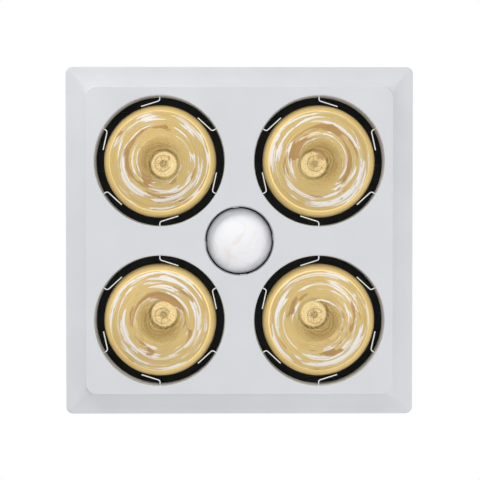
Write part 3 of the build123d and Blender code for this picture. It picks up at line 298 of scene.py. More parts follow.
def scuff_group():
    """Sparse fine scratches from handling: a mask from 0 to 1."""
    group, given, result = new_group(
        "scuffs", {"Place": "Vector", "Length": "Float", "Amount": "Float"}, {"Mask": "Float"})
    scale = math_node(group, "DIVIDE", 1, given["Length"])
    turned_place = add_node(group, "ShaderNodeMapping",
                            {"Vector": given["Place"], "Rotation": (0.5, 0.9, 0.7), "Scale": (1, 22, 5)})
    streaks = add_node(group, "ShaderNodeTexNoise",
                       {"Vector": turned_place.outputs[0], "Scale": scale, "Detail": 2})
    least = math_node(group, "SUBTRACT", 0.74, math_node(group, "MULTIPLY", given["Amount"], 0.12))
    lines = spread(group, streaks.outputs["Fac"], 0, 1, least, math_node(group, "ADD", least, 0.05))
    group.links.new(lines, result["Mask"])
    return group


def dust_group():
    """Dust that has settled on faces that look up."""
    group, given, result = new_group(
        "dust", {"Colour": "Color", "Place": "Vector", "Amount": "Float"},
        {"Colour": "Color", "Mask": "Float"})
    facing = add_node(group, "ShaderNodeSeparateXYZ",
                      {0: add_node(group, "ShaderNodeNewGeometry").outputs["Normal"]}).outputs["Z"]
    up = spread(group, facing, 0, 1, 0.5, 1)
    drift = add_node(group, "ShaderNodeTexNoise", {"Vector": given["Place"], "Scale": 45, "Detail": 5})
    patchy = math_node(group, "MULTIPLY", up, spread(group, drift.outputs["Fac"], 0.2, 1, 0.35, 0.65))
    mask = math_node(group, "MULTIPLY", patchy, given["Amount"])
    group.links.new(mix_colours(group, mask, given["Colour"], dust_colour), result["Colour"])
    group.links.new(mask, result["Mask"])
    return group


def ring_group():
    """Uneven turned rings round each heat lamp's axis: a height, and streaks that fade in and out round it.
    X and Y are folded onto one lamp, whose axis lies Offset from both, so that one group serves all four."""
    group, given, result = new_group(
        "turned_rings", {"Place": "Vector", "Offset": "Float", "Pitch": "Float"},
        {"Height": "Float", "Streaks": "Float", "Radius": "Float"})
    parts = add_node(group, "ShaderNodeSeparateXYZ", {0: given["Place"]})
    width, depth, height = [math_node(group, "ABSOLUTE", parts.outputs[axis]) for axis in "XYZ"]
    across = math_node(group, "SUBTRACT", width, given["Offset"])
    along = math_node(group, "SUBTRACT", depth, given["Offset"])
    flat = add_node(group, "ShaderNodeCombineXYZ", {0: across, 1: along}).outputs[0]
    radius = add_node(group, "ShaderNodeVectorMath", {0: flat}, operation="LENGTH").outputs["Value"]
    along_wall = math_node(group, "SUBTRACT", radius, height)
    ring = math_node(group, "DIVIDE", math_node(group, "MULTIPLY", along_wall, rings_per_pitch),
                     given["Pitch"])
    ring_place = add_node(group, "ShaderNodeCombineXYZ", {0: ring})
    rings = add_node(group, "ShaderNodeTexNoise", {"Vector": ring_place.outputs[0], "Scale": 1, "Detail": 2})
    slow_ring = math_node(group, "MULTIPLY", ring, streaks_per_ring)
    slow_across = math_node(group, "MULTIPLY", parts.outputs["X"], streaks_per_metre)
    slow_along = math_node(group, "MULTIPLY", parts.outputs["Y"], streaks_per_metre)
    streak_place = add_node(group, "ShaderNodeCombineXYZ", {0: slow_ring, 1: slow_across, 2: slow_along})
    streaks = add_node(group, "ShaderNodeTexNoise",
                       {"Vector": streak_place.outputs[0], "Scale": 1.6, "Detail": 3, "Distortion": 0.6})
    group.links.new(rings.outputs["Fac"], result["Height"])
    group.links.new(streaks.outputs["Fac"], result["Streaks"])
    group.links.new(radius, result["Radius"])
    return group


mottle = mottle_group()
grain = grain_group()
scuffs = scuff_group()
dust = dust_group()
turned_rings = ring_group()


# Finishes

def add_bump(tree, shader, height, depth):
    """Relief of a given depth from a height of 0 to 1."""
    bump = add_node(tree, "ShaderNodeBump", {"Height": height, "Distance": depth, "Strength": 1})
    tree.links.new(bump.outputs["Normal"], shader.inputs["Normal"])


def plain_finish(name, dark, light, blotch, grain_size, grain_depth, rough, metallic=0.0, coat=0.0,
                 dusty=0.35, scuffed=0.4):
    """A solid finish: mottled colour, moulded or cast grain, light scuffs, and dust on its top faces."""
    material, tree, shader, place = new_material(name)
    colour = use_group(tree, mottle, Place=place, Size=blotch, Dark=dark, Light=light)["Colour"]
    lines = use_group(tree, scuffs, Place=place, Length=30 * mm, Amount=scuffed)["Mask"]
    faint = math_node(tree, "MULTIPLY", lines, 0.25)
    worn = mix_colours(tree, faint, colour, scratch_colour)
    dusted = use_group(tree, dust, Colour=worn, Place=place, Amount=dusty)
    height = use_group(tree, grain, Place=place, Size=grain_size)["Height"]
    tree.links.new(dusted["Colour"], shader.inputs["Base Color"])
    sheen = spread(tree, height, rough - 0.05, rough + 0.07)
    duller = math_node(tree, "ADD", sheen, math_node(tree, "MULTIPLY", dusted["Mask"], 0.4))
    tree.links.new(duller, shader.inputs["Roughness"])
    add_bump(tree, shader, height, grain_depth)
    shader.inputs["Metallic"].default_value = metallic
    shader.inputs["Coat Weight"].default_value = coat
    return material


def galvanised_finish():
    """Zinc spangle: crystals a few millimetres across, each with its own grey and gloss."""
    crystals_per_metre, waves_per_metre, wave = 140, 60, 6 * mm
    material, tree, shader, place = new_material("galvanised_spangle")
    bent = add_node(tree, "ShaderNodeTexNoise", {"Vector": place, "Scale": waves_per_metre, "Detail": 2})
    wavy = add_node(tree, "ShaderNodeVectorMath", {0: bent.outputs["Color"], 1: (wave, wave, wave)},
                    operation="MULTIPLY")
    moved = add_node(tree, "ShaderNodeVectorMath", {0: place, 1: wavy.outputs[0]}, operation="ADD")
    crystals = add_node(tree, "ShaderNodeTexVoronoi",
                        {"Vector": moved.outputs[0], "Scale": crystals_per_metre})
    cell = add_node(tree, "ShaderNodeSeparateColor", {0: crystals.outputs["Color"]})
    zinc = mix_colours(tree, cell.outputs["Red"], tint(168, 173, 178), tint(206, 209, 212))
    lines = use_group(tree, scuffs, Place=place, Length=40 * mm, Amount=0.6)["Mask"]
    marked = mix_colours(tree, math_node(tree, "MULTIPLY", lines, 0.3), zinc, tint(228, 229, 230))
    dusted = use_group(tree, dust, Colour=marked, Place=place, Amount=0.3)
    tree.links.new(dusted["Colour"], shader.inputs["Base Color"])
    gloss = spread(tree, cell.outputs["Green"], 0.32, 0.52)
    tree.links.new(math_node(tree, "ADD", gloss, math_node(tree, "MULTIPLY", dusted["Mask"], 0.3)),
                   shader.inputs["Roughness"])
    add_bump(tree, shader, cell.outputs["Blue"], 0.012 * mm)
    shader.inputs["Metallic"].default_value = 0.85
    return material


def laminated_finish():
    """Stack of half-millimetre steel sheets, varnished."""
    sheet, gap_share = 0.5 * mm, 0.2
    material, tree, shader, place = new_material("laminated_steel")
    height = add_node(tree, "ShaderNodeSeparateXYZ", {0: place}).outputs["Z"]
    sheets = math_node(tree, "FRACT", math_node(tree, "DIVIDE", height, sheet))
    gap = spread(tree, sheets, 0, 1, 0, gap_share)
    blotched = use_group(tree, mottle, Place=place, Size=9 * mm, Dark=tint(74, 76, 82),
                         Light=tint(112, 112, 114))
    edged = mix_colours(tree, gap, tint(30, 30, 34), blotched["Colour"])
    dusted = use_group(tree, dust, Colour=edged, Place=place, Amount=0.3)
    tree.links.new(dusted["Colour"], shader.inputs["Base Color"])
    tree.links.new(spread(tree, gap, 0.6, 0.38), shader.inputs["Roughness"])
    add_bump(tree, shader, gap, 0.06 * mm)
    shader.inputs["Metallic"].default_value = 0.7
    return material


def taped_finish():
    """Winding wrapped in lapped yellow tape, each lap a few millimetres wide."""
    lap_width, edge_share = 5 * mm, 0.12
    material, tree, shader, place = new_material("coil_tape")
    lean = add_node(tree, "ShaderNodeMapping", {"Vector": place, "Rotation": (0, 0.25, 0.12)})
    laps = add_node(tree, "ShaderNodeSeparateXYZ", {0: lean.outputs[0]}).outputs["X"]
    lap = math_node(tree, "FRACT", math_node(tree, "DIVIDE", laps, lap_width))
    edge = spread(tree, lap, 0, 1, 0, edge_share)
    cloth = use_group(tree, mottle, Place=place, Size=4 * mm, Dark=tint(196, 150, 40),
                      Light=tint(228, 188, 78))
    tree.links.new(mix_colours(tree, edge, tint(140, 98, 24), cloth["Colour"]), shader.inputs["Base Color"])
    tree.links.new(spread(tree, lap, 0.3, 0.5), shader.inputs["Roughness"])
    add_bump(tree, shader, math_node(tree, "ADD", lap, edge), 0.12 * mm)
    return material


def braided_finish():
    """Glass-fibre sleeve, with two crossing sets of strands."""
    material, tree, shader, place = new_material("braided_sleeve")
    strands = []
    strand_lean, strand_scale = 0.8, 260
    for turn in (strand_lean, -strand_lean):
        lean = add_node(tree, "ShaderNodeMapping", {"Vector": place, "Rotation": (turn, turn * 0.6, turn)})
        wave = add_node(tree, "ShaderNodeTexWave",
                        {"Vector": lean.outputs[0], "Scale": strand_scale, "Distortion": 0.4})
        strands.append(wave.outputs["Fac"])
    weave = math_node(tree, "MAXIMUM", *strands)
    fibre = use_group(tree, mottle, Place=place, Size=2 * mm, Dark=tint(205, 200, 184),
                      Light=tint(238, 235, 224))
    woven = mix_colours(tree, weave, tint(168, 160, 140), fibre["Colour"])
    tree.links.new(woven, shader.inputs["Base Color"])
    tree.links.new(spread(tree, weave, 0.9, 0.7), shader.inputs["Roughness"])
    add_bump(tree, shader, weave, 0.15 * mm)
    return material


def lamp_mirror_finish(name, offset, painted_highlight_colour, coat_gold, shade, groove_shade, rim_z, neck_z):
    """Vapour-coated bowl: fine spun rings with painted shade along them, a gold coat with painted highlights
    in long pale streaks and painted dark reflections in a few arcs, a deeper amber rim and a duller brown
    neck."""
    material, tree, shader, place = new_material(name)
    rings = use_group(tree, turned_rings, Place=place, Offset=offset, Pitch=1.3 * mm)
    # Painted highlights: the coat turns pale in long streaks that stand in for swirling reflections.
    painted_highlight_mask = spread(tree, rings["Streaks"], 0, 1, 0.47, 0.56)
    coat = mix_colours(tree, painted_highlight_mask, coat_gold, painted_highlight_colour)
    # Painted dark reflections: a few darker arcs over the coat.
    patches = use_group(tree, turned_rings, Place=place, Offset=offset, Pitch=3.6 * mm)["Streaks"]
    arched = mix_colours(tree, spread(tree, patches, 0, 0.85, 0.59, 0.66), coat, shade)
    height = add_node(tree, "ShaderNodeSeparateXYZ", {0: place}).outputs["Z"]
    rim = spread(tree, height, 1, 0, rim_z - mm, rim_z + 4 * mm)
    rimmed = mix_colours(tree, math_node(tree, "MULTIPLY", rim, 0.85), arched, tint(255, 224, 144))
    # Painted shade: darker amber lines along the spun rings.
    grooves = spread(tree, rings["Height"], 0, 0.8, 0.52, 0.58)
    grooved = mix_colours(tree, grooves, rimmed, groove_shade)
    neck = spread(tree, height, 0, 1, neck_z - mm, neck_z + mm)
    tree.links.new(mix_colours(tree, neck, grooved, tint(196, 150, 84)), shader.inputs["Base Color"])
    dull = math_node(tree, "MULTIPLY", neck, 0.4)
    tree.links.new(math_node(tree, "ADD", spread(tree, rings["Streaks"], 0.02, 0.1), dull),
                   shader.inputs["Roughness"])
    add_bump(tree, shader, rings["Height"], 0.16 * mm)
    tree.links.new(spread(tree, height, 0.25, 0.95, 12 * mm, 55 * mm), shader.inputs["Metallic"])
    return material


def swirled_glass_finish(name, offset, white, gold, groove_shade, shade, ring_depth):
    """Pressed see-through glass: painted white highlights in long swirls, painted amber shade along fine
    grooves and painted dark reflections in a few arcs.
    """
    material, tree, shader, place = new_material(name)
    rings = use_group(tree, turned_rings, Place=place, Offset=offset, Pitch=1.5 * mm)
    # Painted highlight: white swirls from the streak noise, gathered in a belt near the rim and kept out of
    # the middle.
    wide = math_node(tree, "MULTIPLY", belt(tree, rings["Radius"], 39 * mm, 52 * mm, 4 * mm), 0.05)
    middle = math_node(tree, "MULTIPLY", spread(tree, rings["Radius"], 1, 0, 18 * mm, 24 * mm), -0.3)
    lifted = math_node(tree, "ADD", rings["Streaks"], math_node(tree, "ADD", wide, middle))
    sheen = spread(tree, lifted, 0, 1, 0.54, 0.6)
    # Painted shade: amber lines along the pressed grooves.
    grooves = spread(tree, rings["Height"], 0, 1, 0.54, 0.6)
    # Painted dark reflections: a few darker arcs, gathered in a belt round the middle.
    arcs = use_group(tree, turned_rings, Place=place, Offset=offset, Pitch=3.4 * mm)["Streaks"]
    inner = math_node(tree, "MULTIPLY", belt(tree, rings["Radius"], 26 * mm, 40 * mm, 4 * mm), 0.08)
    dark = spread(tree, math_node(tree, "ADD", arcs, inner), 0, 1, 0.64, 0.68)
    swirled = mix_colours(tree, sheen, gold, white)
    grooved = mix_colours(tree, grooves, swirled, groove_shade)
    tree.links.new(mix_colours(tree, dark, grooved, shade), shader.inputs["Base Color"])
    body = spread(tree, rings["Radius"], 0.12, 0.38, 17 * mm, 28 * mm)
    # The painted highlights, painted groove shade and painted dark arcs each make the glass more opaque where
    # they lie.
    for mask, share in ((sheen, 0.72), (grooves, 0.52), (dark, 0.58)):
        body = math_node(tree, "MAXIMUM", body, math_node(tree, "MULTIPLY", mask, share))
    tree.links.new(body, shader.inputs["Alpha"])
    tree.links.new(spread(tree, rings["Streaks"], 0.02, 0.08), shader.inputs["Roughness"])
    add_bump(tree, shader, rings["Height"], ring_depth)
    shader.inputs["IOR"].default_value = 1.47
    return material


def frosted_finish():
    """Frosted white glass with a faint warm bloom in swept patches."""
    material, tree, shader, place = new_material("frosted_glass")
    sweep = add_node(tree, "ShaderNodeTexNoise",
                     {"Vector": place, "Scale": 38, "Detail": 2, "Distortion": 1.6})
    bloom = spread(tree, sweep.outputs["Fac"], 0, 0.8, 0.52, 0.72)
    bloomed = mix_colours(tree, bloom, tint(243, 243, 246), tint(236, 227, 221))
    tree.links.new(bloomed, shader.inputs["Base Color"])
    fine = use_group(tree, grain, Place=place, Size=0.6 * mm)["Height"]
    tree.links.new(spread(tree, fine, 0.42, 0.56), shader.inputs["Roughness"])
    add_bump(tree, shader, fine, 0.02 * mm)
    shader.inputs["Coat Weight"].default_value = 0.15
    return material


finishes = {
    "fascia_white": plain_finish("satin_white_moulding", tint(209, 211, 215), tint(214, 216, 219), 60 * mm,
                                 0.45 * mm, 0.012 * mm, 0.36, coat=0.15, dusty=0.1, scuffed=0.1),
    "guard_wire": plain_finish("drawn_wire", tint(188, 190, 193), tint(206, 208, 211), 3 * mm, 0.25 * mm,
                               0.01 * mm, 0.26, metallic=1.0, dusty=0.1, scuffed=0.6),
    # The pale streak colour paints highlights; the shade and groove colours paint dark reflections and groove
    # shade.
    "gold_glass": lamp_mirror_finish("amber_mirror", lamp_offset, painted_highlight_colour=tint(255, 252, 236),
                                     coat_gold=tint(255, 243, 200), shade=tint(240, 212, 152),
                                     groove_shade=tint(226, 178, 92), rim_z=-1 * mm, neck_z=84 * mm),
    "frosted_glass": frosted_finish(),
    "lamp_cap": plain_finish("nickel_cap", tint(186, 180, 164), tint(214, 208, 192), 5 * mm, 0.3 * mm,
                             0.01 * mm, 0.3, metallic=1.0, dusty=0.2, scuffed=0.9),
    "lamp_stem": plain_finish("stem_glass_and_wire", tint(150, 146, 138), tint(196, 192, 184), 3 * mm,
                              0.3 * mm, 0.01 * mm, 0.25, metallic=0.6, dusty=0.0, scuffed=0.1),
    "galvanised_steel": galvanised_finish(),
    "black_paint": plain_finish("heatproof_black", tint(36, 41, 44), tint(50, 56, 59), 18 * mm, 0.5 * mm,
                                0.03 * mm, 0.55, dusty=0.2, scuffed=0.3),
    "porcelain": plain_finish("glazed_porcelain", tint(232, 228, 214), tint(245, 243, 234), 12 * mm,
                              1.2 * mm, 0.02 * mm, 0.18, coat=0.6, dusty=0.2, scuffed=0.1),
    "brass": plain_finish("stamped_brass", tint(176, 138, 66), tint(214, 178, 100), 6 * mm, 0.3 * mm,
                          0.01 * mm, 0.3, metallic=1.0, dusty=0.2, scuffed=0.8),
    "zinc_screw": plain_finish("zinc_plate", tint(172, 174, 178), tint(214, 215, 216), 2 * mm, 0.2 * mm,
                               0.01 * mm, 0.28, metallic=1.0, dusty=0.25, scuffed=0.8),
    "fan_plastic": plain_finish("fan_moulding", tint(206, 208, 206), tint(220, 221, 218), 35 * mm,
                                0.8 * mm, 0.03 * mm, 0.5, dusty=0.35, scuffed=0.3),
    "impeller_plastic": plain_finish("impeller_moulding", tint(38, 40, 44), tint(56, 58, 62), 20 * mm,
                                     0.6 * mm, 0.02 * mm, 0.42, dusty=0.3, scuffed=0.3),
    "motor_steel": laminated_finish(),
    "coil_tape": taped_finish(),
    "shaft_steel": plain_finish("ground_steel", tint(178, 180, 184), tint(206, 208, 210), 4 * mm,
                                0.15 * mm, 0.01 * mm, 0.24, metallic=1.0, dusty=0.15, scuffed=0.8),
    "rubber": plain_finish("moulded_rubber", tint(28, 28, 30), tint(44, 44, 46), 7 * mm, 0.5 * mm,
                           0.03 * mm, 0.75, dusty=0.3, scuffed=0.1),
    "terminal_plastic": plain_finish("terminal_moulding", tint(228, 227, 220), tint(238, 237, 230), 10 * mm,
                                     0.5 * mm, 0.02 * mm, 0.45, dusty=0.25, scuffed=0.2),
    "lead_sleeve": braided_finish(),
    "duct_plastic": plain_finish("duct_moulding", tint(50, 53, 56), tint(68, 70, 73), 30 * mm, 0.8 * mm,
                                 0.03 * mm, 0.5, dusty=0.35, scuffed=0.4),
}
# The white colour paints swirling highlights; the shade and groove colours paint dark reflections and groove
# shade.
amber_glass = swirled_glass_finish("amber_glass", lamp_offset, white=tint(255, 255, 252),
                                   gold=tint(255, 229, 152), groove_shade=tint(232, 190, 112),
                                   shade=tint(196, 152, 88), ring_depth=0.1 * mm)
stem_glass = plain_finish("stem_glass", tint(226, 206, 160), tint(240, 224, 186), 3 * mm, 0.6 * mm,
                          0.02 * mm, 0.12, coat=0.5, dusty=0.0, scuffed=0.0)
deflector_metal = plain_finish("deflector_plate", tint(246, 222, 166), tint(255, 238, 192), 6 * mm,
                               0.4 * mm, 0.01 * mm, 0.3, metallic=1.0, dusty=0.0, scuffed=0.5)
tungsten = plain_finish("tungsten_wire", tint(126, 92, 54), tint(150, 114, 72), 2 * mm, 0.2 * mm,
                        0.01 * mm, 0.35, metallic=0.6, dusty=0.0, scuffed=0.2)


# Lamps, with turns and sweeps in degrees

heat_lamp = {
    "bulb_r": 62.5 * mm, "tip": -28 * mm, "dome_r": 118 * mm, "shoulder_r": 15.5 * mm,
    "bowl_r": 101 * mm, "neck_r": 19 * mm, "throat": 12 * mm, "wall": 1 * mm, "end": 150 * mm,
    "stem": 62 * mm, "coil_drop": 14 * mm, "coil_ring": 9 * mm,
}
centre_lamp = {
    "bulb_r": 36.4 * mm, "tip": -20 * mm, "dome_r": 52 * mm, "shoulder_r": 16 * mm,
    "bowl_r": 62 * mm, "neck_r": 16.5 * mm, "throat": 5 * mm, "wall": 0.8 * mm, "end": 95 * mm,
    "stem": 26 * mm, "coil_drop": 9 * mm, "coil_ring": 7 * mm,
}
dome_steps = 96
clear_steps = 10
coated_steps = 8
bowl_steps = 64
coated_turn = 60
neck_turn = 70
neck_steps = 8
crease_share = 0.53
crease_half = 3.2 * mm
crease_depth = 0.6 * mm
stem_r = 4.5 * mm
stem_flare = 2 * mm
stem_round = 1 * mm
coil_r = 0.65 * mm
coil_wire_r = 0.13 * mm
coil_sweep = 300
coil_turns = 56
coil_steps = 8
hook_count = 5
hook_grip = 2 * mm
support_wire_r = 0.3 * mm
deflector_gap = 2.6 * mm
deflector_drop = 3 * mm
deflector_sheet = 0.35 * mm
deflector_lip = 1 * mm
lip_steps = 6
round_steps = 5
cap_r = 13.1 * mm
cap_height = 30 * mm
cap_skirt = 7 * mm
cap_wall = 0.6 * mm
cap_cone = 5 * mm
cap_cone_foot = 2 * mm
cap_chamfer = 0.4 * mm
cap_button_r = 4.6 * mm
cap_button = 2.4 * mm
button_side = 0.4
button_top = 0.75
crown_inset = 1.2 * mm
crown_drop = 0.5 * mm
thread_margin = 1 * mm
thread_rows = 40
thread_pitch = 3.6 * mm
thread_depth = 0.7 * mm
thread_turns = 4
pole_r = 0.6 * mm
seam = 0.08 * mm


def side_arcs(bulb_r, tip, dome_r, shoulder_r, bowl_r, neck_r):
    """A reflector lamp's side as arcs of (radius, height) points: dome with its shoulder, and bowl."""
    rise = math.sqrt((dome_r - shoulder_r) ** 2 - (bulb_r - shoulder_r) ** 2)
    wide_z = tip + dome_r - rise
    lean = math.degrees(math.atan2(bulb_r - shoulder_r, rise))
    first = math.degrees(math.asin(pole_r / dome_r))
    dome = arc((0, tip + dome_r), dome_r, first - 90, lean - 90, dome_steps)
    clear = arc((bulb_r - shoulder_r, wide_z), shoulder_r, lean - 90, -coated_turn, clear_steps)
    coated = arc((bulb_r - shoulder_r, wide_z), shoulder_r, -coated_turn, 0, coated_steps)
    bowl_turn = math.degrees(math.acos((neck_r - bulb_r + bowl_r) / bowl_r))
    bowl = arc((bulb_r - bowl_r, wide_z), bowl_r, 0, bowl_turn, bowl_steps)
    crease_r = crease_share * bulb_r
    pressed = []
    for radius, height in bowl:
        reach = abs(radius - crease_r) / crease_half
        dent = crease_depth * (0.5 + 0.5 * math.cos(math.pi * reach)) if reach < 1 else 0
        pressed.append((radius - dent, height))
    return dome + clear[1:], coated + pressed[1:]


def lamp_arcs(sizes, inset=0.0):
    """The side arcs of a lamp, on its outside or a wall's thickness in."""
    return side_arcs(sizes["bulb_r"] - inset, sizes["tip"] + inset, sizes["dome_r"] - inset,
                     sizes["shoulder_r"] - inset, sizes["bowl_r"] - inset, sizes["neck_r"] - inset)


def lamp_front(name, sizes, ridge_count, ridge_pitch, ridge_depth):
    """Front glass of a lamp: a shell with pressed ridges near its edge and a plain inside."""
    outer, _ = lamp_arcs(sizes)
    inner, _ = lamp_arcs(sizes, sizes["wall"])
    edge = outer[-1][0] - ridge_pitch / 2
    start = edge - ridge_count * ridge_pitch
    ridged = []
    for radius, height in outer:
        swell = 0.5 - 0.5 * math.cos(math.tau * (radius - start) / ridge_pitch)
        ridged.append((radius, height + (ridge_depth * swell if start < radius < edge else 0)))
    front = turned(name, ridged + inner[::-1], closed_start=True, closed_end=True)
    shade_round(front)
    return front


def lamp_back(name, sizes):
    """Mirrored back of a lamp: bowl, throat and the neck that the cap holds, as one closed shell."""
    mouth_r = cap_r - cap_wall - seam
    mouth_z = sizes["end"] - cap_height + cap_skirt
    sides = []
    for inset in (0, sizes["wall"]):
        bowl = lamp_arcs(sizes, inset)[1]
        neck_r, neck_z = bowl[-1]
        throat_r = sizes["throat"] / 2
        bend = arc((neck_r - throat_r, neck_z + throat_r), throat_r, 0, neck_turn, neck_steps)
        shoulder_in = (mouth_r - inset, mouth_z - cap_skirt)
        sides.append(bowl + bend + [shoulder_in, (mouth_r - inset, mouth_z)])
    outer, inner = sides
    outer[0] = (outer[0][0] + seam, outer[0][1])
    inner[0] = (inner[0][0] + seam, inner[0][1])
    back = turned(name, outer + inner[::-1] + outer[:1])
    shade_round(back)
    return back


def lamp_cap(name, end):
    """Screw cap with a rolled helical thread, an insulating cone and a contact button."""
    start = end - cap_height
    thread_start = start + cap_skirt
    thread_end = thread_start + thread_turns * thread_pitch
    shell_end = end - cap_button - cap_cone
    inner_r = cap_r - cap_wall
    skirt = [(inner_r, start), (cap_r, start), (cap_r, thread_start - thread_margin)]
    thread = [(cap_r, thread_start + (thread_end - thread_start) * row / thread_rows)
              for row in range(thread_rows + 1)]
    crown = [(cap_r, shell_end - thread_margin), (cap_r - cap_chamfer, shell_end),
             (cap_button_r + cap_cone_foot, end - cap_button), (cap_button_r, end - cap_button),
             (cap_button_r, end - button_side * cap_button), (cap_button_r * button_top, end), (pole_r, end)]
    inside = [(inner_r - thread_depth, shell_end - thread_margin), (inner_r - thread_depth, thread_start),
              (inner_r, thread_start - thread_margin), (inner_r, start)]
    shell = turned(name + "_shell", skirt + thread + crown[:2] + inside)
    for vertex in shell.data.vertices:
        x, y, z = vertex.co
        radius = math.hypot(x, y)
        if thread_start < z < thread_end and radius > inner_r:
            turn = math.tau * (z - thread_start) / thread_pitch - math.atan2(y, x)
            fade = min(1, (z - thread_start) / thread_pitch, (thread_end - z) / thread_pitch)
            share = 1 - thread_depth * fade * (0.5 - 0.5 * math.cos(turn)) / radius
            vertex.co = (x * share, y * share, z)
    crest = turned(name + "_crown", [(cap_r - crown_inset, shell_end - crown_drop)] + crown[1:],
                   closed_start=True, closed_end=True)
    cap = joined([shell, crest], name)
    shade_round(cap)
    return cap


def wire(name, points, radius):
    """A round wire along points."""
    line = bpy.data.curves.new(name, "CURVE")
    line.dimensions = "3D"
    line.bevel_depth = radius
    line.bevel_resolution = 1
    line.use_fill_caps = True
    spline = line.splines.new("POLY")
    spline.points.add(len(points) - 1)
    for point, place in zip(spline.points, points):
        point.co = (*place, 1)
    activate(linked_object(name, line))
    bpy.ops.object.convert(target="MESH")
    return bpy.context.object


def lamp_stem(name, sizes):
    """Glass stem that holds the filament, flared where it is sealed into the neck."""
    flare_z = sizes["end"] - cap_height + cap_skirt - stem_flare - seam
    tip = flare_z - sizes["stem"]
    flare_r = cap_r - cap_wall - sizes["wall"] - 3 * seam
    rounded = arc((stem_r - stem_round, tip + stem_round), stem_round, -90, 0, round_steps)
    bell = arc((flare_r, flare_z - stem_flare), flare_r - stem_r, 180, 140, 6)[1]
    flare = [(stem_r, flare_z - stem_flare), bell, (flare_r, flare_z), (flare_r, flare_z + stem_flare / 2)]
    stem = turned(name, [(pole_r, tip)] + rounded + flare, closed_start=True, closed_end=True)
    shade_round(stem)
    return stem


def lamp_coil(name, sizes):
    """Coiled filament on a part ring, with its two leads and three hooks from the stem."""
    tip = sizes["end"] - cap_height + cap_skirt - stem_flare - seam - sizes["stem"]
    ring_z = tip - sizes["coil_drop"]
    ring_r = sizes["coil_ring"]
    start = math.radians((360 - coil_sweep) / 2)
    sweep = math.radians(coil_sweep)
    helix = []
    for step in range(coil_turns * coil_steps + 1):
        along = start + sweep * step / (coil_turns * coil_steps)
        roll = math.tau * step / coil_steps
        reach = ring_r + coil_r * math.cos(roll)
        helix.append((reach * math.cos(along), reach * math.sin(along), ring_z + coil_r * math.sin(roll)))
    parts = [wire(name + "_coil", helix, coil_wire_r)]
    for hook in range(hook_count):
        turn = start + sweep * hook / (hook_count - 1)
        foot = (ring_r * math.cos(turn), ring_r * math.sin(turn))
        inner = (stem_r / 2 * math.cos(turn), stem_r / 2 * math.sin(turn))
        route = [(*inner, tip + hook_grip), (*inner, tip - hook_grip), (*foot, ring_z + 2 * coil_r),
                 (*foot, ring_z)]
        parts.append(wire(name + "_hook", route, support_wire_r))
    coil = joined(parts, name)
    shade_round(coil)
    return coil


def lamp_deflector(name, sizes):
    """Round plate across the neck, with a rolled edge and a hole for the stem."""
    neck_r, neck_z = lamp_arcs(sizes, sizes["wall"])[1][-1]
    edge_r = neck_r - deflector_gap
    low = neck_z - deflector_drop
    high = low + deflector_sheet
    hole_r = stem_r + seam
    lip = arc((edge_r - deflector_lip, low + deflector_lip), deflector_lip, -90, 0, lip_steps)
    under = [(hole_r, low)] + lip
    upper = [(edge_r - deflector_sheet, low + deflector_lip), (edge_r - deflector_lip, high), (hole_r, high)]
    plate = turned(name, under + upper + under[:1])
    shade_round(plate)
    return plate


heat_front = lamp_front("heat_front", heat_lamp, ridge_count=6, ridge_pitch=2.3 * mm,
                        ridge_depth=0.22 * mm)
heat_back = lamp_back("heat_back", heat_lamp)
heat_cap = lamp_cap("heat_cap", heat_lamp["end"])
for place, (x, y) in lamp_places.items():
    body = "lamp_" + place
    back = placed_copy(heat_back, "heat_lamp_bowl_" + place, x, y)
    dress(back, finishes["gold_glass"], body, "gold_glass", "heat_lamp_glass_" + place)
    front = placed_copy(heat_front, "heat_lamp_dome_" + place, x, y)
    dress(front, amber_glass, body, "gold_glass")
    cap = placed_copy(heat_cap, "heat_lamp_screw_" + place, x, y)
    dress(cap, finishes["lamp_cap"], body, "lamp_cap", "heat_lamp_cap_" + place)
for pattern, material, part in (
        (lamp_stem("heat_stem", heat_lamp), stem_glass, "stem"),
        (lamp_coil("heat_coil", heat_lamp), tungsten, "coil"),
        (lamp_deflector("heat_deflector", heat_lamp), deflector_metal, "deflector")):
    for place, (x, y) in lamp_places.items():
        inner = placed_copy(pattern, "heat_lamp_" + part + "_" + place, x, y)
        stood_for = ["heat_lamp_filament_" + place] if part == "coil" else []
        dress(inner, material, "lamp_" + place, "lamp_stem", *stood_for)
    bpy.data.objects.remove(pattern)
centre_stem = lamp_stem("centre_lamp_stem", centre_lamp)
dress(centre_stem, stem_glass, "centre_lamp", "lamp_stem")
centre_coil = lamp_coil("centre_lamp_coil", centre_lamp)
dress(centre_coil, tungsten, "centre_lamp", "lamp_stem", "centre_lamp_filament")
centre_front = lamp_front("centre_lamp_face", centre_lamp, ridge_count=0, ridge_pitch=3 * mm,
                          ridge_depth=0)
dress(centre_front, finishes["frosted_glass"], "centre_lamp", "frosted_glass", "centre_lamp_glass")
centre_back = lamp_back("centre_lamp_bowl", centre_lamp)
dress(centre_back, finishes["frosted_glass"], "centre_lamp", "frosted_glass")
centre_cap = lamp_cap("centre_lamp_screw", centre_lamp["end"])
dress(centre_cap, finishes["lamp_cap"], "centre_lamp", "lamp_cap", "centre_lamp_cap")
for pattern in (heat_front, heat_back, heat_cap):
    bpy.data.objects.remove(pattern)


# Pieces whose shape is right already

